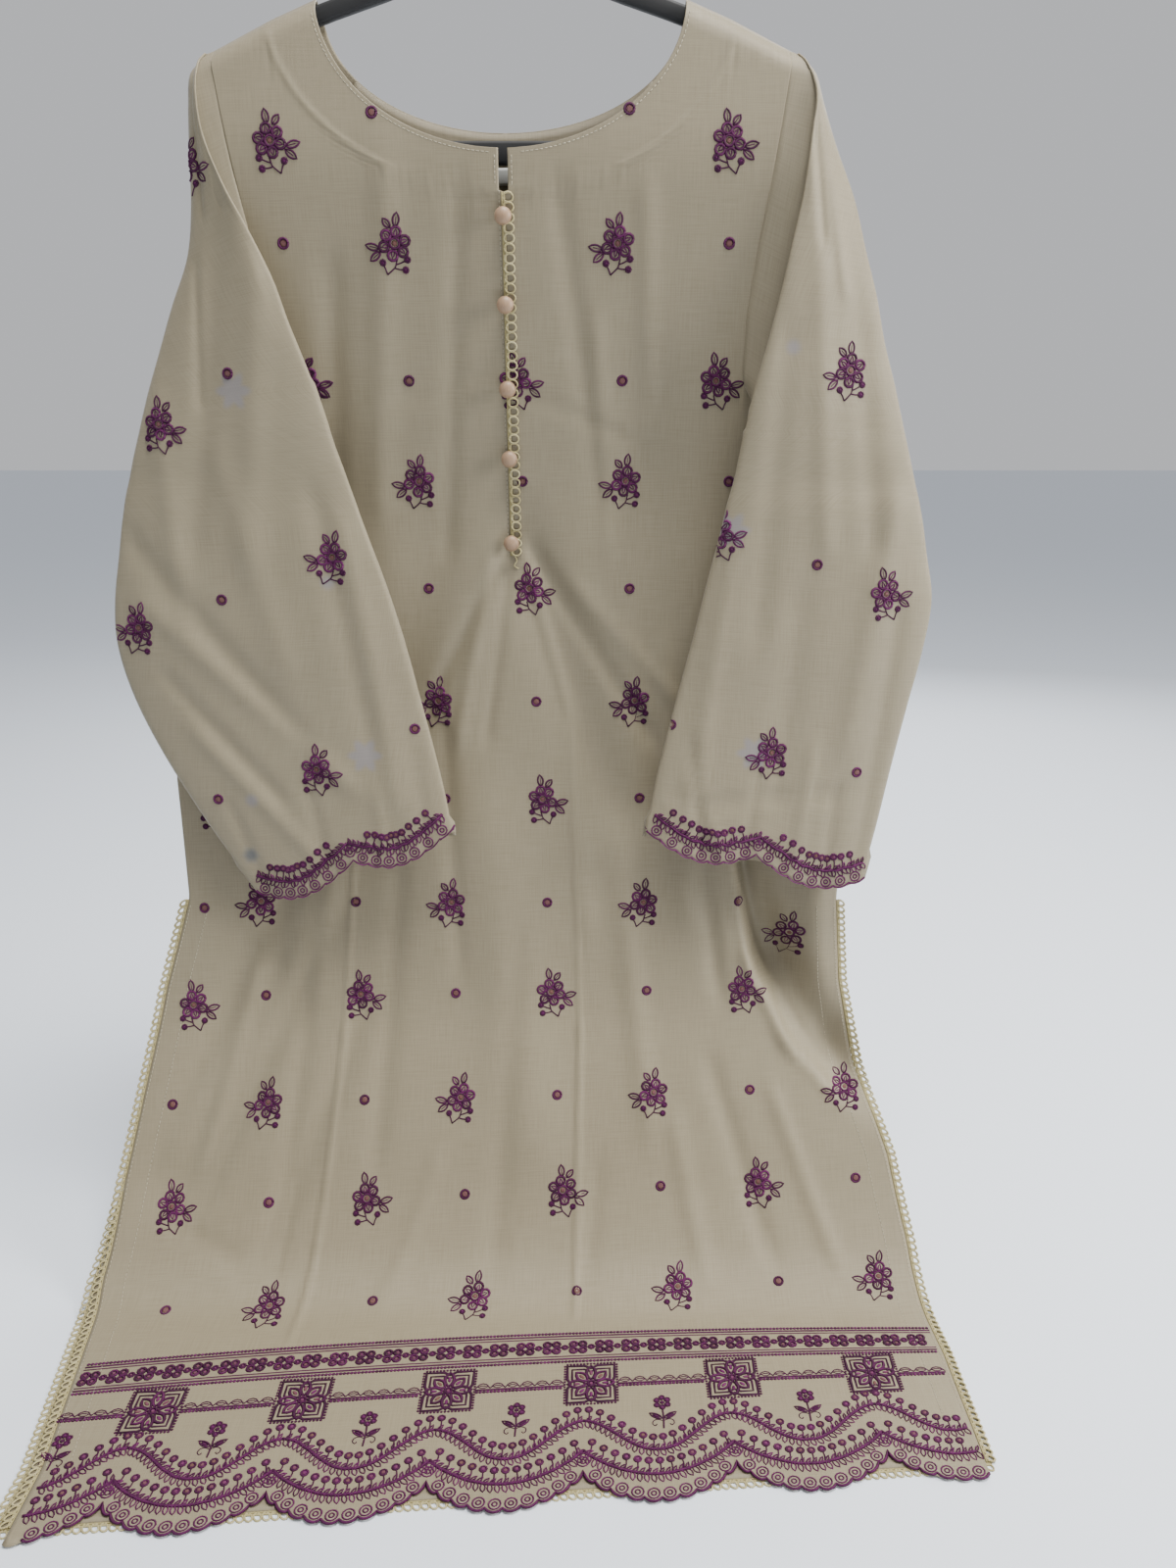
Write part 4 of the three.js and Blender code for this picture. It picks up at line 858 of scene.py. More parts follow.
def read_template(bm):
    bm.verts.ensure_lookup_table()
    bm.verts.index_update()
    points = np.array([vert.co[:] for vert in bm.verts])
    faces = np.array([[vert.index for vert in face.verts] for face in bm.faces])
    bm.free()
    return points, faces


DOT = dot_template()
STRANDS = {}


class Threadwork:
    """Gathers strands and dots drawn flat (x, down, height in millimetres), then lays them on a surface."""

    def __init__(self, sides=3):
        self.sides = sides
        self.points = []
        self.faces = []
        self.tones = []
        self.strands = []
        self.count = 0

    def _add(self, points, faces, tone, strand):
        self.points.append(points)
        self.faces.append(faces + self.count)
        self.tones.append(np.full(len(points), tone))
        self.strands.append(strand)
        self.count += len(points)

    def strand(self, path, wide, high=0.5, tone=0.2, base=0.0):
        """A raised strand along a flat path."""
        path = np.asarray(path, float)
        segments = len(path) - 1
        key = (segments, self.sides)
        if key not in STRANDS:
            STRANDS[key] = strand_template(*key)
        template, faces = STRANDS[key]
        station = np.clip(np.round(template[:, 0]).astype(int), 0, segments)
        steps = np.diff(path, axis=0)
        lengths = np.hypot(steps[:, 0], steps[:, 1]) + 1e-9
        tangent = np.zeros_like(path)
        tangent[1:] += steps / lengths[:, None]
        tangent[:-1] += steps / lengths[:, None]
        if np.hypot(*(path[0] - path[-1])) < 1e-6:
            tangent[0] = tangent[-1] = tangent[0] + tangent[-1]
        tangent /= np.hypot(tangent[:, 0], tangent[:, 1])[:, None] + 1e-9
        side = np.stack([-tangent[:, 1], tangent[:, 0]], -1)
        if self.sides == 3:
            across = template[:, 1] * wide / 2 / 0.866
            up = (template[:, 2] + 0.5) / 1.5 * high + base
        else:
            across = template[:, 1] * wide / 2
            up = template[:, 2] * high / 2 + base
        spots = path[station] + side[station] * across[:, None]
        run = np.concatenate([[0], np.cumsum(lengths)])
        self._add(np.column_stack([spots, up]), faces, tone, run[station] * MM)

    def dot(self, centre, radius, high=0.5, tone=0.3, turn=0.0, longer=1.0):
        template, faces = DOT
        c, s = math.cos(turn), math.sin(turn)
        x = template[:, 0] * radius * longer
        y = template[:, 1] * radius
        spots = np.column_stack([centre[0] + c * x - s * y, centre[1] + s * x + c * y, template[:,
                                2] * high])
        self._add(spots, faces, tone, (x + y) * MM * 2)

    def piece(self, name, surface, material):
        flat = np.concatenate(self.points)
        spots = surface(flat)
        faces = np.concatenate(self.faces)
        kept = ~np.isnan(spots).any(1)
        faces = faces[kept[faces].all(1)]
        used = np.zeros(len(spots), bool)
        used[faces] = True
        renumber = np.cumsum(used) - 1
        faces = renumber[faces]
        spots = spots[used] * MM
        mesh = bpy.data.meshes.new(name)
        mesh.from_pydata(spots.tolist(), [], faces.tolist())
        for label, values in (("tone", self.tones), ("strand", self.strands)):
            layer = mesh.attributes.new(label, "FLOAT", "POINT")
            layer.data.foreach_set("value", np.concatenate(values)[used].astype(np.float32))
        print(name, "triangles", len(faces))
        return finish_mesh(name, mesh, material)


def circle_path(centre, radius, steps=10):
    turn = np.linspace(0, 2 * math.pi, steps + 1)
    return np.stack([centre[0] + radius * np.cos(turn), centre[1] + radius * np.sin(turn)], -1)


def leaf_path(base, tip, wide, steps=5):
    """An almond outline from base to tip and back."""
    base = np.asarray(base, float)
    tip = np.asarray(tip, float)
    share = np.linspace(0, 1, steps + 1)
    side = np.array([-(tip - base)[1], (tip - base)[0]]) / np.hypot(*(tip - base))
    swell = wide / 2 * np.sin(math.pi * share) ** 0.8
    out = base + (tip - base) * share[:, None] + side * swell[:, None]
    home = (base + (tip - base) * share[:, None] - side * swell[:, None])[::-1]
    return np.concatenate([out, home[1:]])


def curve_path(points, steps=4):
    points = np.asarray(points, float)
    return smooth_rows(points, (len(points) - 1) * steps + 1)


BROWN = 1.0


def leaf(work, base, tip, wide, filled=False):
    base = np.asarray(base, float)
    tip = np.asarray(tip, float)
    run = tip - base
    work.strand(leaf_path(base, tip, wide), 1.35, 0.65, random.uniform(0.2, 0.45))
    if filled:
        work.dot((base + tip) / 2, wide * 0.3, 0.35, 0.35, math.atan2(run[1], run[0]), np.hypot(*run) / wide)
    else:
        work.strand(np.array([base, base + run * 0.45, base + run * 0.7]), 0.6, 0.35, 0.4)


def sprig(work, x, down, flip=1, turn=0.0, size=1.0):
    """The scattered flower: six looped petals round an eyelet, two leaves up,
    two to one side, three berries."""
    c, s = math.cos(turn), math.sin(turn)

    def to(px, py):
        px = px * flip * size
        py = py * size
        return np.array([x + c * px - s * py, down + s * px + c * py])
    for petal in range(6):
        angle = math.radians(-103 + 60 * petal + random.uniform(-5, 5))
        reach = 7.1 + random.uniform(-0.4, 0.4)
        way = np.array([math.cos(angle), math.sin(angle)])
        work.strand(circle_path(to(*(way * reach)), 3.05 * size, 10), 2.0, 0.9, random.uniform(0.2, 0.55))
        work.strand(leaf_path(to(*(way * 3.2)), to(*(way * (reach + 1.6))), 1.9 * size, 3), 1.0, 0.6,
                    random.uniform(0.4, 0.65))
    work.strand(circle_path(to(0, 0), 3.2 * size, 10), 1.9, 1.0, 0.4)
    work.dot(to(0, 0), 2.0 * size, 0.4, BROWN)
    leaf(work, to(-0.9, -9.6), to(-2.3, -18.2), 4.0 * size)
    leaf(work, to(2.4, -9.0), to(6.8, -14.6), 3.8 * size)
    leaf(work, to(9.8, 3.4), to(19, 1.2), 4.0 * size)
    leaf(work, to(9.2, 5.2), to(16.2, 10.6), 3.9 * size)
    stems = ([(-1.3, 9.4), (-0.4, 12.4), (0.6, 14.8), (5.4, 18.8)], [(5.4, 18.8), (6.4, 15.6), (7.9, 12.6)],
             [(0.6, 14.8), (-2.4, 15.6), (-5.6, 15.8)], [(-0.7, 12.6), (-3.8, 11.6), (-7.2, 10.0)])
    for stem in stems:
        work.strand(curve_path([to(*spot) for spot in stem], 2), 1.0, 0.55, 0.2)
    for berry in ((8.1, 11.6), (-6.4, 15.9), (-7.8, 9.7)):
        work.strand(circle_path(to(*berry), 1.6 * size, 8), 1.7, 0.8, 0.25)
        work.dot(to(*berry), 1.2 * size, 0.7, 0.5)


def eyelet(work, x, down, radius=3.1, wide=1.7):
    work.strand(circle_path((x, down), radius, 12), wide, 0.7, random.uniform(0.25, 0.5))
    work.dot((x, down), radius - wide * 0.3, 0.35, BROWN)


def small_loops(work, path_of, length, pitch, radius, tone=0.18):
    """A row of tiny buttonhole loops."""
    for step in range(int(length / pitch)):
        work.dot(path_of((step + 0.5) * pitch), radius, 0.55, random.uniform(tone - 0.1, tone + 0.2))


def vine(work, spine, normal_up, pitch, upper, lower):
    """A herringbone vine: a thick spine, V leaves above it and open loops below it."""
    spine = np.asarray(spine, float)
    wobble = np.array([[0, random.uniform(-0.25, 0.25)] for _ in spine])
    work.strand(spine + wobble, 2.4, 1.0, 0.42)
    steps = np.diff(spine, axis=0)
    run = np.concatenate([[0], np.cumsum(np.hypot(steps[:, 0], steps[:, 1]))])
    for stop in np.arange(pitch / 2, run[-1], pitch):
        here = np.array([np.interp(stop, run, spine[:, 0]), np.interp(stop, run, spine[:, 1])])
        ahead = min(stop + 1.0, run[-1])
        toward = np.array([np.interp(ahead, run, spine[:, 0]), np.interp(ahead, run, spine[:, 1])]) - here
        toward /= np.hypot(*toward) + 1e-9
        up = np.array([toward[1], -toward[0]]) * normal_up
        if upper:
            tip = here + up * 3.8 + toward * 2.9
            work.strand(leaf_path(here, tip, 1.7, 3), 1.15, 0.7, random.uniform(0.3, 0.6))
        tip = here - up * lower + toward * 2.0
        work.strand(leaf_path(here, tip, 2.9, 4), 1.0, 0.6, random.uniform(0.3, 0.6))


def berry_on_stem(work, foot, head, radius=2.0):
    foot = np.asarray(foot, float)
    head = np.asarray(head, float)
    work.strand(np.array([foot, (foot + head) / 2 + np.array([0.5, 0]), head]), 1.0, 0.5, 0.25)
    work.strand(circle_path(head, radius, 9), 1.7, 0.75, random.uniform(0.2, 0.45))
    work.dot(head, radius * 0.8, 0.5, random.uniform(0.75, 1.0))


def double_ring(work, centre):
    work.strand(circle_path(centre, 3.5, 12), 1.15, 0.55, 0.5)
    work.strand(circle_path(centre, 1.5, 8), 1.1, 0.5, 0.45)


# ---- embroidery of the front ------------------------------------------------------------------
REPEAT = 145                   # between sprigs of a row
ROW_DOWNS = [82, 141, 226, 293, 368, 450, 523, 602, 671, 748, 817, 888]
ROW_MIDDLE = np.array([(80, -2), (230, 5), (380, 12), (520, 20), (670, 26), (815, 35), (888, 46),
                       (970, 56)], float)
BORDER_TOP = 924
CHAIN_DOWN = 937
MEDALLION_DOWN = 970
POT_DOWN = 989


def inside_panel(x, down, margin, neck):
    if abs(x) > abs(edge_x(down, -1 if x < 0 else 1)) - margin:
        return False
    return (x / (NECK_HALF + margin)) ** 2 + (down / (neck + margin)) ** 2 > 1 or down > neck + margin


def scattered(work, neck, rows=ROW_DOWNS):
    for index, down in enumerate(rows):
        middle = np.interp(down, ROW_MIDDLE[:, 0], ROW_MIDDLE[:, 1])
        whole = index % 2 == 0
        for step in range(-5, 6):
            x = middle + step * REPEAT / 2
            has_sprig = (step % 2 == 0) == whole
            clear_of_neck = down > neck + 22 or abs(x) > 40
            if has_sprig and clear_of_neck and inside_panel(x, down, 12, neck):
                sprig(work, x, down, 1 if whole else -1, random.uniform(-0.05, 0.05))
            elif not has_sprig and index > 0 and inside_panel(x, down, 5,
                                                              neck) and (abs(x) > 8 or down > 250):
                eyelet(work, x, down)


def border_shift(x, down):
    """The upper lines of the border sit a little lower towards the sides."""
    return 10 * (x / 280) ** 2 * np.clip((HEM_FRONT - down) / (HEM_FRONT - 919), 0, 1)


def border_point(x, down):
    return np.array([x, down + border_shift(x, down)])


def border_line(work, down, left, right, wide, tone, step=7.0):
    xs = np.linspace(left, right, round((right - left) / step) + 1)
    work.strand(np.array([border_point(x, down) for x in xs]), wide, 0.4, tone)


def medallion(work, x):
    half = 15.5
    here = border_point(x, MEDALLION_DOWN)
    for inset, wide in ((0, 2.2), (3.1, 1.7)):
        h = half - inset
        notch = 4.2
        corners = [(-h, -h), (-notch, -h), (0, -h + 2.2), (notch, -h), (h, -h), (h, -notch), (h - 2.2,
                   0), (h, notch),
                   (h, h), (notch, h), (0, h - 2.2), (-notch, h), (-h, h), (-h, notch), (-h + 2.2,
                                                                                         0), (-h, -notch),
                   (-h, -h)]
        work.strand(here + np.array(corners), wide, 0.5, 0.14)
    for side in range(4):
        c, s = math.cos(side * math.pi / 2), math.sin(side * math.pi / 2)
        for spot in np.linspace(-half, half, 15):
            px, py = spot, -half - 1.6
            work.dot(here + np.array([c * px - s * py, s * px + c * py]), 0.95, 0.5, 0.3)
    for petal in range(8):
        angle = petal * math.pi / 4
        reach = 15.2 if petal % 2 == 0 else 13.6
        way = np.array([math.cos(angle), math.sin(angle)])
        work.strand(leaf_path(here + way * 3.4, here + way * reach, 6.0, 5), 2.3, 1.0,
                    random.uniform(0.2, 0.45))
        work.dot(here + way * (reach + 3.4) / 2, 1.2, 0.5, random.uniform(0.55, 1.0), angle, 2.0)
    work.strand(circle_path(here, 2.4, 8), 2.0, 0.9, 0.3)
    work.dot(here, 1.5, 0.5, 0.8)


def potted_flower(work, x):
    here = border_point(x, POT_DOWN)
    for petal in range(6):
        angle = math.radians(-90 + 60 * petal)
        centre = here + 3.9 * np.array([math.cos(angle), math.sin(angle)])
        work.strand(circle_path(centre, 1.5, 7), 1.7, 0.8, 0.3)
        work.dot(centre, 1.1, 0.5, 0.6)
    work.dot(here, 1.6, 0.6, 0.3)
    foot = here + np.array([0, 21])
    work.strand(np.array([here + np.array([0, 5.5]), here + np.array([0.3, 12]), foot]), 1.2, 0.6, 0.3)
    for side in (-1, 1):
        leaf(work, here + np.array([0.4 * side, 13]), here + np.array([8.5 * side, 8.4]), 3.0, True)
        curl = [(0.3, 14.8), (3.4, 13.6), (6.2, 14.6), (6.8, 17), (5.2, 18.6), (4.2, 17.4)]
        work.strand(curve_path([here + np.array([side * px, py]) for px, py in curl], 2), 0.75, 0.4, 0.16)


def band_under(work, edge_of, start, stop, small, corners):
    """Along a scalloped edge: its cord, and a double ring in each small scallop.
    edge_of gives a place and the way into the cloth for a share along the edge."""
    count = round((stop - start) * small)
    path = [edge_of(start + (stop - start) * step / (count * 6)) for step in range(count * 6 + 1)]
    work.strand(np.array([spot + inward * 0.6 for spot, inward in path]), 2.0, 1.0, 0.42)
    for step in range(count):
        spot, inward = edge_of(start + (step + 0.5) / small)
        double_ring(work, spot + inward * 6.0)
    for corner in corners:
        spot, inward = edge_of(corner)
        double_ring(work, spot + inward * 7.2)


def front_edge(turn):
    """Place and inward way at a number of large scallops from the middle valley."""
    def at(value):
        whole = math.floor(value)
        share = float(np.interp(value - whole, ARC_LENGTH, ARC_X))
        x = SCALLOP_VALLEY_X + SCALLOP_PITCH * (whole + share)
        return np.array([x, float(front_hem(x))]), np.array([x, float(large_scallop(x))])
    here = at(turn)[0]
    ahead = at(turn + 0.04)[1] - at(turn - 0.04)[1]
    ahead /= np.hypot(*ahead)
    inward = np.array([ahead[1], -ahead[0]])
    return here, inward


def front_border(work):
    left, right = edge_x(950, -1) + 2.5, edge_x(950, 1) - 2.5
    for top, sign in ((BORDER_TOP, 1), (CHAIN_DOWN * 2 - BORDER_TOP, -1)):
        small_loops(work, lambda run: border_point(left + run, top), right - left, 2.35, 1.25, 0.4)
        border_line(work, top + sign * 2.5, left, right, 1.5, 0.4)
        border_line(work, top + sign * 4.9, left, right, 1.0, 0.4)
    pitch = 17.8
    count = int((right - left) / pitch)
    for step in range(count + 1):
        x = left + 6 + step * pitch
        if x > right - 5:
            continue
        for px, py in ((-3.1, -2.9), (3.1, -2.9), (-3.1, 2.9), (3.1, 2.9)):
            centre = border_point(x + px, CHAIN_DOWN + py)
            work.strand(circle_path(centre, 2.4, 9), 2.1, 0.9, random.uniform(0.15, 0.45))
            work.dot(centre, 1.3, 0.5, 0.85)
        centre = border_point(x + pitch / 2, CHAIN_DOWN)
        if centre[0] < right - 3:
            work.strand(circle_path(centre, 1.8, 8), 1.8, 0.7, 0.3)
            work.dot(centre, 1.0, 0.4, 0.8)
            for way in (-1, 1):
                work.strand([centre + np.array([way * 2.2, 0]), centre + np.array([way * 4.2, 0])], 1.4,
                            0.5, 0.3)
    valleys = [SCALLOP_VALLEY_X + SCALLOP_PITCH * step for step in range(-4, 4)]
    for valley in valleys:
        x = valley + 5
        if left + 16 < x < right - 16:
            medallion(work, x)
        start, stop = max(x + 17.5, left), min(x + SCALLOP_PITCH - 17.5, right)
        if stop - start > 8:
            border_line(work, MEDALLION_DOWN + 1, start, stop, 1.5, 0.4)
            small_loops(work, lambda run: border_point(start + run, MEDALLION_DOWN + 2.8),
                        stop - start, 2.35, 1.25, 0.4)
            eyes = max(1, round((stop - start) / 9.6))
            for eye in range(eyes):
                a = start + (stop - start) * eye / eyes
                b = start + (stop - start) * (eye + 1) / eyes
                arch = [border_point(a, MEDALLION_DOWN - 0.2),
                        border_point((a * 3 + b) / 4, MEDALLION_DOWN - 3.4),
                        border_point((a + b) / 2, MEDALLION_DOWN - 4.2),
                        border_point((a + b * 3) / 4, MEDALLION_DOWN - 3.4),
                        border_point(b, MEDALLION_DOWN - 0.2)]
                work.strand(np.array(arch), 0.9, 0.5, 0.3)
                work.strand(leaf_path(border_point(a + 1.6, MEDALLION_DOWN - 1.4),
                                      border_point(b - 1.6, MEDALLION_DOWN - 1.4), 2.2, 3), 0.9, 0.4, 0.35)
        pot = valley + SCALLOP_PITCH / 2 + 4
        if left + 8 < pot < right - 8:
            potted_flower(work, pot)
        draw_waves(work, valley)
    first = (edge_x(HEM_FRONT, -1) + 1 - SCALLOP_VALLEY_X) / SCALLOP_PITCH
    last = (edge_x(HEM_FRONT, 1) - 1 - SCALLOP_VALLEY_X) / SCALLOP_PITCH
    start = math.ceil(first * SMALL_SCALLOPS) / SMALL_SCALLOPS
    stop = math.floor(last * SMALL_SCALLOPS) / SMALL_SCALLOPS
    corners = [turn for turn in range(-4, 4) if start < turn < stop]
    band_under(work, front_edge, start, stop, SMALL_SCALLOPS, corners)


def draw_waves(work, valley):
    """Two vines across one large scallop, the upper in waves, the lower in arcs that meet in points."""
    shares = np.linspace(0, 1, 25)
    xs = valley + SCALLOP_PITCH * shares
    upper = 1026 - 25 * (0.5 + 0.5 * np.cos(2 * math.pi * shares)) ** 1.15
    lower = 1023.5 + 20.5 * np.sin(math.pi * shares) ** 0.8
    edge_left = np.interp(1030, EDGE[:, 0], EDGE[:, 1]) + 2
    edge_right = np.interp(1030, EDGE[:, 0], EDGE[:, 2]) - 2
    kept = (xs > edge_left) & (xs < edge_right)
    if kept.sum() < 3:
        return
    vine(work, np.stack([xs, upper], -1)[kept], 1, 4.1, True, 5.4)
    vine(work, np.stack([xs, lower], -1)[kept], 1, 4.1, True, 6.0)
    for share in (np.arange(14) + 0.5) / 14:
        x = valley + SCALLOP_PITCH * share
        if not edge_left + 2 < x < edge_right - 2:
            continue
        foot = 1026 - 25 * (0.5 + 0.5 * math.cos(2 * math.pi * share)) ** 1.15
        lean = math.sin(2 * math.pi * share) * 2.2
        berry_on_stem(work, (x, foot), (x + lean * 0.5, foot - 9.3))
    for share in (np.arange(13) + 0.5) / 13:
        x = valley + SCALLOP_PITCH * share
        if not edge_left + 2 < x < edge_right - 2:
            continue
        foot = 1023.5 + 20.5 * math.sin(math.pi * share) ** 0.8
        lean = math.cos(math.pi * share) * -2.0
        berry_on_stem(work, (x, foot), (x - lean, foot - 9.6))


# ---- laces and stitches -----------------------------------------------------------------------
LACE_WIDE = 8
LACE_GAP = 0.5
LACE_PITCH = 5.0
CORD = 1.3                    # thickness of the lace's cord


def gimp(work, spot_of, length, wide, pitch, slant=0.35):
    """A cord in round loops across the lace, and the straight cords that hold them. spot_of takes the place
    along and across the lace to a flat place."""
    loops = max(2, round(length / pitch))
    turn = np.linspace(0, 2 * math.pi, 13)
    reach = (wide - CORD) / 2
    for loop in range(loops):
        middle = (loop + 0.5) * length / loops
        across = CORD * 0.7 + reach - reach * np.cos(turn)
        along = middle + pitch * 0.42 * np.sin(turn) + slant * (across - reach)
        work.strand([spot_of(a, c) for a, c in zip(along, across)], CORD, CORD * 0.95,
                    random.uniform(0.5, 0.75),
                    0.12 * (loop % 2))
    steps = max(2, round(length / 9))
    for across, tone in ((CORD * 0.5, 0.35), (CORD * 1.6, 0.5)):
        line = np.array([spot_of(length * step / steps, across) for step in range(steps + 1)])
        work.strand(line, CORD * 0.9, CORD * 0.8, tone)


def lace_surface(behind):
    sign = -1 if behind else 1

    def place(flat):
        centre = wall_point(flat[:, 0], flat[:, 1], behind, WALL / 2)
        lean = np.interp(flat[:, 1], HANG_DOWN, HANG_LEAN)
        out = np.stack([np.zeros(len(flat)), -np.cos(lean), np.sin(lean)], -1) * sign
        return centre + out * flat[:, 2:3]
    return place


def slit_lace(behind, side, material):
    edge = back_edge_x if behind else edge_x
    hem = HEM_BACK if behind else HEM_FRONT + 12
    work = Threadwork(sides=5)

    def spot(along, across):
        down = SLIT_TOP + along
        return edge(down, side) + side * (LACE_GAP - 0.3 + across), down
    gimp(work, spot, hem - SLIT_TOP, LACE_WIDE - CORD, LACE_PITCH)
    name = f"slit_lace_{'back' if behind else 'front'}_{'left' if side < 0 else 'right'}"
    piece = work.piece("looped_" + name, lace_surface(behind), material)
    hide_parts(name)
    return piece


def hem_lace(material):
    left = back_edge_x(HEM_BACK, -1) - 4
    right = back_edge_x(HEM_BACK, 1) + 4
    work = Threadwork(sides=5)
    gimp(work, lambda along, across: (left + along, HEM_BACK + 0.1 + across), right - left,
         LACE_WIDE - CORD, LACE_PITCH)
    piece = work.piece("looped_hem_lace", lace_surface(True), material)
    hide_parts("hem_lace_back")
    return piece


def placket_lace(material):
    work = Threadwork(sides=5)
    start, wide, pitch = 111, 8.0, 6.0

    def spot(along, across):
        return across - 1.4, start + along
    length = PLACKET_END + 3 - start
    loops = round(length / pitch)
    turn = np.linspace(0, 2 * math.pi, 13)
    reach = (wide - CORD) / 2
    for loop in range(loops):
        along = (loop + 0.5) * length / loops + 2.9 * np.sin(turn)
        across = CORD * 0.6 + reach - reach * np.cos(turn)
        lift = CORD * (0.75 + 0.3 * (loop % 2))
        work.strand([spot(a, c) for a, c in zip(along, across)], CORD, CORD, random.uniform(0.5, 0.8), lift)
    for across, tone in ((0.4, 0.3), (1.7, 0.45)):
        work.strand([spot(a, across) for a in np.linspace(0, length, 30)], CORD, CORD * 0.8, tone,
                    CORD * 0.7)
    tail = [(1.5, length - 2), (4.5, length + 3), (2.5, length + 7), (5.5, length + 9)]
    work.strand(curve_path([spot(a, c) for c, a in tail], 4), CORD * 0.8, CORD * 0.8, 0.7, CORD * 0.6)
    piece = work.piece("looped_placket_lace", on_body(False), material)
    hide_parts("placket_lace")
    return piece


def stitch_line(work, path, pitch=3.0, length=2.1):
    """A row of short stitches along a flat path."""
    path = np.asarray(path, float)
    steps = np.diff(path, axis=0)
    run = np.concatenate([[0], np.cumsum(np.hypot(steps[:, 0], steps[:, 1]))])
    for start in np.arange(0, run[-1] - length, pitch):
        ends = [(np.interp(start + more, run, path[:, 0]), np.interp(start + more, run, path[:, 1]))
                for more in (0, length)]
        work.strand(ends, 0.5, 0.25, 0.5)


def body_stitches(behind, material):
    work = Threadwork()
    depth = BACK_NECK_DEPTH if behind else FRONT_NECK_DEPTH
    edge = back_edge_x if behind else edge_x
    angles = np.linspace(0.06, math.pi - 0.06, 60)
    if behind:
        stitch_line(work, np.stack([(NECK_HALF + 2.6) * np.cos(angles), (depth + 2.6) * np.sin(angles)], -1))
        xs = np.linspace(back_edge_x(1040, -1) + 4, back_edge_x(1040, 1) - 4, 60)
        stitch_line(work, np.stack([xs, np.full(60, HEM_BACK - 2.5)], -1))
    else:
        for part in (angles[angles < math.pi / 2 - 0.055], angles[angles > math.pi / 2 + 0.055]):
            stitch_line(work, np.stack([(NECK_HALF + 2.6) * np.cos(part), (depth + 2.6) * np.sin(part)], -1))
        for side in (-1, 1):
            slit = [(side * 5.4, depth + 4), (side * 5.4, KEYHOLE_END - 2)]
            stitch_line(work, slit)
        downs = np.linspace(KEYHOLE_END, PLACKET_END, 20)
        stitch_line(work, np.stack([np.full(20, -3.0), downs], -1))
    for side in (-1, 1):
        downs = np.linspace(SLIT_TOP + 4, 1012, 50)
        for inset in (1.8, 15.5):
            xs = np.array([edge(down, side) - side * inset for down in downs])
            stitch_line(work, np.stack([xs, downs], -1))
    piece = work.piece("stitches_back" if behind else "stitches_front", on_body(behind), material)
    return piece


# ---- embroidery of the sleeves ----------------------------------------------------------------
def on_sleeve(piece, from_front):
    """Lays flat places (x, -z, height) on a sleeve, looking at it from the front or from behind."""
    graph = bpy.context.evaluated_depsgraph_get()
    tree = BVHTree.FromObject(piece, graph)
    way = Vector((0, 1 if from_front else -1, 0))
    start_y = -0.4 if from_front else 0.4

    def place(flat):
        spots = np.full((len(flat), 3), np.nan)
        for index, (x, low, height) in enumerate(flat):
            hit, normal, _, _ = tree.ray_cast(Vector((x * MM, start_y, -low * MM)), way)
            if hit is not None:
                if normal.dot(way) > 0:
                    normal = -normal
                spots[index] = (hit + normal * height * MM) / MM
        return spots
    return place


def cuff_edge(inner, outer):
    """The cuff's edge seen flat: place and inward way for a share across the front layer."""
    inner = np.array([inner[0], -inner[2]])
    outer = np.array([outer[0], -outer[2]])

    def edge_of(share):
        def base(value):
            large = CUFF_SCALLOP * (abs(math.sin(2 * math.pi * value)) * 2 - 1)
            return inner + (outer - inner) * value + np.array([0, large])
        spot = inner + (outer - inner) * share + np.array([0, cuff_drop(share)])
        ahead = base(share + 0.02) - base(share - 0.02)
        ahead /= np.hypot(*ahead)
        inward = np.array([ahead[1], -ahead[0]])
        return spot, inward if inward[1] < 0 else -inward
    return edge_of


LEFT_SPRIGS = [(-204, 186, 1), (-233, 346, 1), (-121, 433, -1), (-260, 482, -1), (-140, 582, 1)]
LEFT_EYELETS = [(-183, 314), (-199, 462), (-213, 605), (-69, 553)]
RIGHT_SPRIGS = [(227, 312, -1), (260, 458, 1), (185, 570, -1), (143, 417, 1)]
RIGHT_EYELETS = [(211, 438), (113, 550), (247, 585)]
BACK_LEFT = ([(-205, 330, -1), (-215, 470, 1), (-165, 560, -1)], [(-235, 400), (-150, 480), (-210, 590)])
BACK_RIGHT = ([(215, 340, 1), (240, 480, -1), (190, 580, 1)], [(235, 410), (180, 500), (240, 600)])


def cuff_band(work, edge_of, lean):
    band_under(work, edge_of, 0.0, 1.0, CUFF_SMALL, [0.5])
    for start, stop in ((0.01, 0.5), (0.5, 0.99)):
        spine = []
        for share in np.linspace(start, stop, 15):
            spot, inward = edge_of(share)
            spine.append(spot + inward * 14.0)
        vine(work, spine, 1 if spine[-1][0] > spine[0][0] else -1, 3.6, True, 5.2)
        for share in np.linspace(start + 0.03, stop - 0.03, 10):
            spot, inward = edge_of(share)
            berry_on_stem(work, spot + inward * 14.0, spot + inward * 23.5 + np.array([lean, 0]), 2.1)


def sleeve_embroidery(name, piece, rows, sprigs, eyelets, hidden, turn, material):
    last = rows[-1]
    edge_of = cuff_edge(last[4:7], last[7:10])
    work = Threadwork()
    for x, low, flip in sprigs:
        sprig(work, x, low, flip, turn)
    for x, low in eyelets:
        eyelet(work, x, low)
    cuff_band(work, edge_of, 0.6)
    front = work.piece(name + "_front", on_sleeve(piece, True), material)
    work = Threadwork()
    for x, low, flip in hidden[0]:
        sprig(work, x, low, flip, turn)
    for x, low in hidden[1]:
        eyelet(work, x, low)
    rear = work.piece(name + "_behind", on_sleeve(piece, False), material)
    return [front, rear]


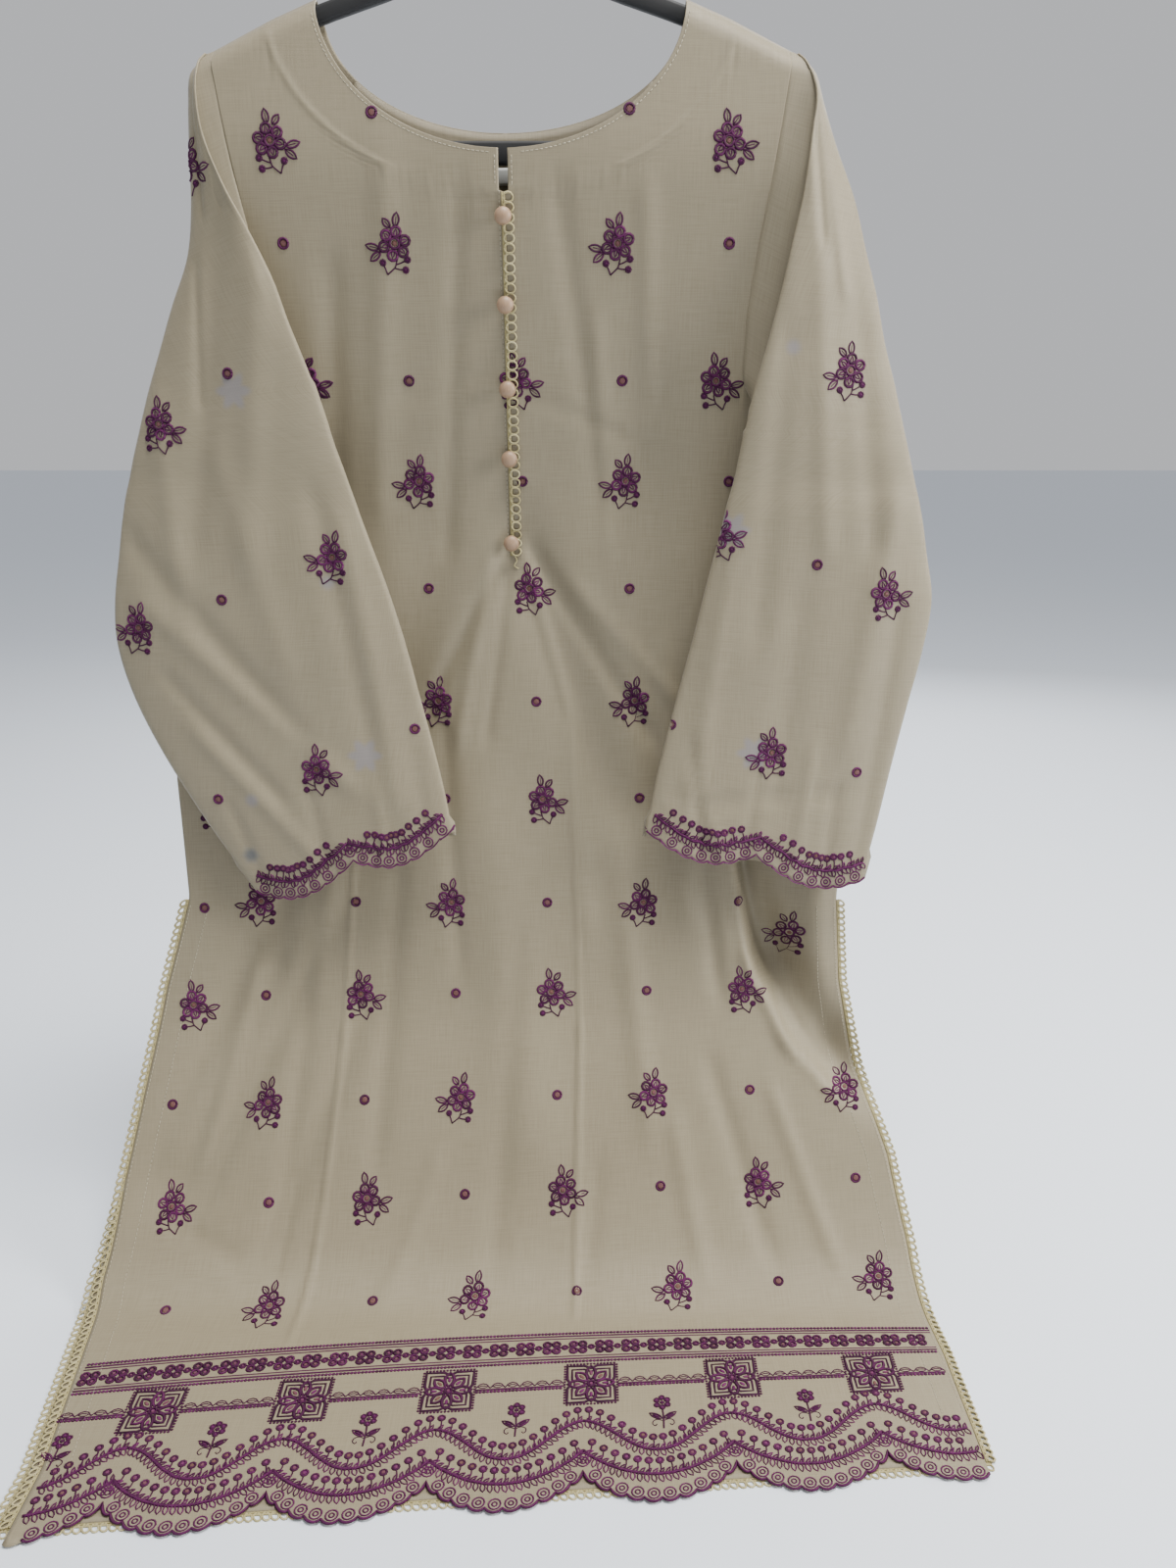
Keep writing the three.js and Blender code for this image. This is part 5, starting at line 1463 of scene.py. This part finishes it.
# ---- neck facing and label --------------------------------------------------------------------
def neck_facing(material):
    columns = 40
    reach = 0.62
    rows = []
    for deep in (1, 6, 12, 20, 28):
        angle = math.pi / 2 * (1 + reach * (1 - 2 * np.arange(columns + 1) / columns))
        x = -(NECK_HALF + deep * 0.6) * np.cos(angle)
        down = (BACK_NECK_DEPTH + deep) * np.sin(angle)
        point = roll_over(wall_point(x, down, True, 0))
        point[:, 1] -= GAP + 0.2
        rows.append(point)
    points = np.array(rows)
    uvs = np.stack([points[..., 0], points[..., 2]], -1)
    piece = cloth_piece("back_neck_facing", [(points, uvs)], (0, -1, 0), material, 0.5, 0)
    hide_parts("neck_facing_back")
    return piece


def neck_label(material):
    rows = []
    for down in np.linspace(94, 106, 7):
        xs = np.linspace(-10, 10, 9)
        point = roll_over(wall_point(xs, np.full(9, down), True, 0))
        point[:, 1] -= 2 * GAP + WALL + 0.3 + 0.4 * np.sin((down - 94) / 12 * math.pi)
        rows.append(point)
    points = np.array(rows)
    uvs = np.stack([points[..., 0], points[..., 2]], -1)
    piece = cloth_piece("bare_neck_label", [(points, uvs)], (0, -1, 0), material, 0.3, 0)
    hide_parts("neck_label")
    return piece


# ---- buttons, hanger and hook -----------------------------------------------------------------
def button(index, material):
    low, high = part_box(f"button_{index}")
    centre = (Vector(low) + Vector(high)) / 2
    radius = (high[0] - low[0]) / 2
    thick = (high[1] - low[1]) / 2
    bm = bmesh.new()
    profile = []
    for step in range(13):
        turn = -math.pi / 2 + math.pi * step / 12
        waist = 1 - 0.05 * math.exp(-((step - 3.0) / 0.8) ** 2)
        profile.append(bm.verts.new((radius * math.cos(turn) * waist, 0, thick * math.sin(turn))))
    edges = [bm.edges.new(pair) for pair in zip(profile[:-1], profile[1:])]
    bmesh.ops.spin(bm, geom=profile + edges, cent=(0, 0, 0), axis=(0, 0, 1), angle=2 * math.pi, steps=28,
                   use_merge=True)
    bmesh.ops.remove_doubles(bm, verts=bm.verts, dist=1e-6)
    bmesh.ops.recalc_face_normals(bm, faces=bm.faces)
    bmesh.ops.rotate(bm, cent=(0, 0, 0), matrix=Matrix.Rotation(math.pi / 2, 3, "X"), verts=bm.verts)
    bmesh.ops.translate(bm, vec=centre, verts=bm.verts)
    mesh = bpy.data.meshes.new(f"wooden_button_{index}")
    bm.to_mesh(mesh)
    bm.free()
    piece = finish_mesh(f"wooden_button_{index}", mesh, material)
    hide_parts(f"button_{index}")
    return piece


FRAME_OUTER = np.array([
    (0, -62), (30, -67.5), (66, -80.5), (112, -95), (143, -106.8), (168, -118.5), (183, -127.5), (190, -137),
    (191, -150), (187, -166), (178, -179), (164, -186)], float)
FRAME_INNER = np.array([
    (0, -75), (30, -79.5), (66, -92), (112, -106.5), (143, -118.2), (165, -129), (175, -137), (178, -148),
    (174, -162), (160, -172)], float)
HANGER_THICK = 7


def hanger_frame(material):
    bm = bmesh.new()
    loops = []
    for half in (FRAME_OUTER, FRAME_INNER):
        curve = smooth_rows(half, len(half) * 3)
        whole = np.concatenate([curve, (curve * np.array([-1, 1]))[::-1][:-1]])
        verts = [bm.verts.new((x * MM, -HANGER_THICK / 2 * MM, z * MM)) for x, z in whole]
        loops.append([bm.edges.new((verts[i], verts[(i + 1) % len(verts)])) for i in range(len(verts))])
    bmesh.ops.triangle_fill(bm, edges=loops[0] + loops[1], use_beauty=True, use_dissolve=False)
    bmesh.ops.recalc_face_normals(bm, faces=bm.faces)
    made = bmesh.ops.extrude_face_region(bm, geom=list(bm.faces))["geom"]
    bmesh.ops.translate(bm, vec=(0, HANGER_THICK * MM, 0),
                        verts=[item for item in made if isinstance(item, bmesh.types.BMVert)])
    bmesh.ops.recalc_face_normals(bm, faces=bm.faces)
    rims = [edge for edge in bm.edges if len(edge.link_faces) == 2 and edge.calc_face_angle() > 1.0
            and abs(edge.verts[0].co.y - edge.verts[1].co.y) < 1e-6]
    bmesh.ops.bevel(bm, geom=rims, offset=2.2 * MM, offset_type="OFFSET", segments=3, profile=0.5,
                    affect="EDGES",
                    material=-1, clamp_overlap=True)
    mesh = bpy.data.meshes.new("moulded_hanger")
    bm.to_mesh(mesh)
    bm.free()
    piece = finish_mesh("moulded_hanger", mesh, material)
    piece.data.set_sharp_from_angle(angle=math.radians(50))
    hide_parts("hanger_frame")


HOOK_WIRE = 2
HOOK_BEND = 20


def hanger_hook(material):
    bm = bmesh.new()
    radius = HOOK_BEND + HOOK_WIRE
    centre = -HOOK_BEND
    points = [(0, -62 + GAP), (0, -58), (0, -54)]
    for step in range(17):
        turn = math.radians(-52 + 232 * step / 16)
        points.append((radius * math.cos(turn), centre + radius * math.sin(turn)))
    points.append((-radius, centre - 5))
    curve = smooth_rows(np.array(points, float), 90)
    bmesh.ops.create_circle(bm, cap_ends=True, radius=HOOK_WIRE * MM, segments=14)
    ring = list(bm.verts)
    offsets = [vert.co.copy() for vert in ring]
    tip = list(bm.faces)
    stations = [(ring, 0)]
    for step in range(1, len(curve)):
        made = bmesh.ops.extrude_face_region(bm, geom=tip)["geom"]
        if step > 1:
            bmesh.ops.delete(bm, geom=tip, context="FACES_ONLY")
        tip = [item for item in made if isinstance(item, bmesh.types.BMFace)]
        verts = [item for item in made if isinstance(item, bmesh.types.BMVert)]
        order = [min(verts,
                 key=lambda vert: (vert.co - spot).length) for spot in [Vector(o) for o in offsets]]
        stations.append((order, step))
    for order, step in stations:
        ahead = curve[min(step + 1, len(curve) - 1)] - curve[max(step - 1, 0)]
        ahead = Vector((ahead[0], 0, ahead[1])).normalized()
        side = Vector((0, 1, 0))
        up = side.cross(ahead)
        for vert, offset in zip(order, offsets):
            vert.co = Vector((curve[step][0], 0, curve[step][1])) * MM + up * offset.x + side * offset.y
    bmesh.ops.recalc_face_normals(bm, faces=bm.faces)
    mesh = bpy.data.meshes.new("wire_hook")
    bm.to_mesh(mesh)
    bm.free()
    piece = finish_mesh("wire_hook", mesh, material)
    piece.data.set_sharp_from_angle(angle=math.radians(50))
    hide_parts("hanger_hook")


def add_floor():
    bm = bmesh.new()
    bmesh.ops.create_grid(bm, x_segments=1, y_segments=1, size=30)
    bmesh.ops.translate(bm, vec=(0, 0, TABLE_Z), verts=bm.verts)
    mesh = bpy.data.meshes.new("floor")
    bm.to_mesh(mesh)
    bm.free()
    floor = bpy.data.objects.new("floor", mesh)
    bpy.context.collection.objects.link(floor)
    material, tree, shader = new_material("pale_floor")
    shader.inputs["Base Color"].default_value = (0.76, 0.81, 0.88, 1)
    shader.inputs["Roughness"].default_value = 0.8
    mesh.materials.append(material)


# ---- making it all ----------------------------------------------------------------------------
add_camera()
add_studio()
add_floor()

lawn = lawn_material("lawn_body")
lawn_left = lawn_material("lawn_left_sleeve",
                          [((-0.18, 0, -0.325), 1.0), ((-0.125, 0, -0.45), 0.0), ((-0.105, 0, -0.572), 1.0),
                           ((-0.188, 0, -0.605), 0.0)],
                          [((-0.192, 0, -0.647), True), ((-0.192, 0, -0.647), False)])
lawn_right = lawn_material("lawn_right_sleeve",
                           [((0.188, 0, -0.298), 0.0), ((0.24, 0, -0.16), 1.0), ((0.172, 0, -0.57), 1.0),
                            ((0.152, 0, -0.415), 1.0)])
plum_thread = thread_material("plum_thread", (0.020, 0.0008, 0.014), (0.066, 0.0035, 0.046), (0.15,
                              0.016, 0.11),
                              (0.155, 0.072, 0.058), 0.5)
cream_cord = thread_material("cream_cord", (0.24, 0.20, 0.08), (0.36, 0.305, 0.145), (0.47, 0.41, 0.22),
                             (0.52, 0.47, 0.30), 0.5)
cream_stitch = thread_material("cream_stitch", (0.20, 0.17, 0.11), (0.42, 0.38, 0.28), (0.5, 0.46, 0.36),
                               (0.55, 0.51, 0.41), 0.6)
label_tape = hard_material("bleached_tape", (0.50, 0.50, 0.47), (0.62, 0.62, 0.58), 0.62, 0.0,
                           (1500, 300, 1500))

front = panel("front_of_lawn", False, lawn)
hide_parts("front_panel")
back = panel("back_of_lawn", True, lawn)
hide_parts("back_panel")

left_sleeve = sleeve("left_sleeve_of_lawn", SLEEVE_LEFT, -1, LEFT_SLEEVE_CREASES, lawn_left)
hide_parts("sleeve_left")
right_sleeve = sleeve("right_sleeve_of_lawn", SLEEVE_RIGHT, 1, RIGHT_SLEEVE_CREASES, lawn_right)
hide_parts("sleeve_right")

work = Threadwork()
scattered(work, FRONT_NECK_DEPTH)
eyelet(work, -82, 66)
eyelet(work, 80, 64)
sprig(work, -139, 226, 1)
sprig(work, 141, 226, 1)
sprig(work, 208, 628, -1)
sprig(work, -246, 677, 1)
sprig(work, -226, 528, 1)
eyelet(work, -236, 606)
front_sprigs = work.piece("embroidery_front", on_body(False), plum_thread)
work = Threadwork()
front_border(work)
border = work.piece("embroidery_border", on_body(False), plum_thread)
work = Threadwork()
scattered(work, BACK_NECK_DEPTH)
back_sprigs = work.piece("embroidery_back", on_body(True), plum_thread)
left_threads = sleeve_embroidery("embroidery_left", left_sleeve, SLEEVE_LEFT, LEFT_SPRIGS, LEFT_EYELETS,
                                 BACK_LEFT,
                                 0.1, plum_thread)
right_threads = sleeve_embroidery("embroidery_right", right_sleeve, SLEEVE_RIGHT, RIGHT_SPRIGS,
                                  RIGHT_EYELETS,
                                  BACK_RIGHT, -0.1, plum_thread)

wood = wood_material()
buttons = [button(index, wood) for index in range(1, 6)]
on_front = [front_sprigs, border, placket_lace(cream_cord), body_stitches(False, cream_stitch)]
on_front += [slit_lace(False, side, cream_cord) for side in (-1, 1)] + buttons
on_back = [back_sprigs, hem_lace(cream_cord), body_stitches(True, cream_stitch)]
on_back += [slit_lace(True, side, cream_cord) for side in (-1, 1)]
facing = neck_facing(lawn)
label = neck_label(label_tape)

hanger_frame(hard_material("black_plastic", (0.002, 0.002, 0.0022), (0.006, 0.006, 0.0065), 0.5, 0.0,
                           (900, 900, 900)))
hanger_hook(hard_material("bright_wire", (0.55, 0.56, 0.58), (0.68, 0.69, 0.7), 0.16, 1.0,
                          (2600, 2600, 300)))
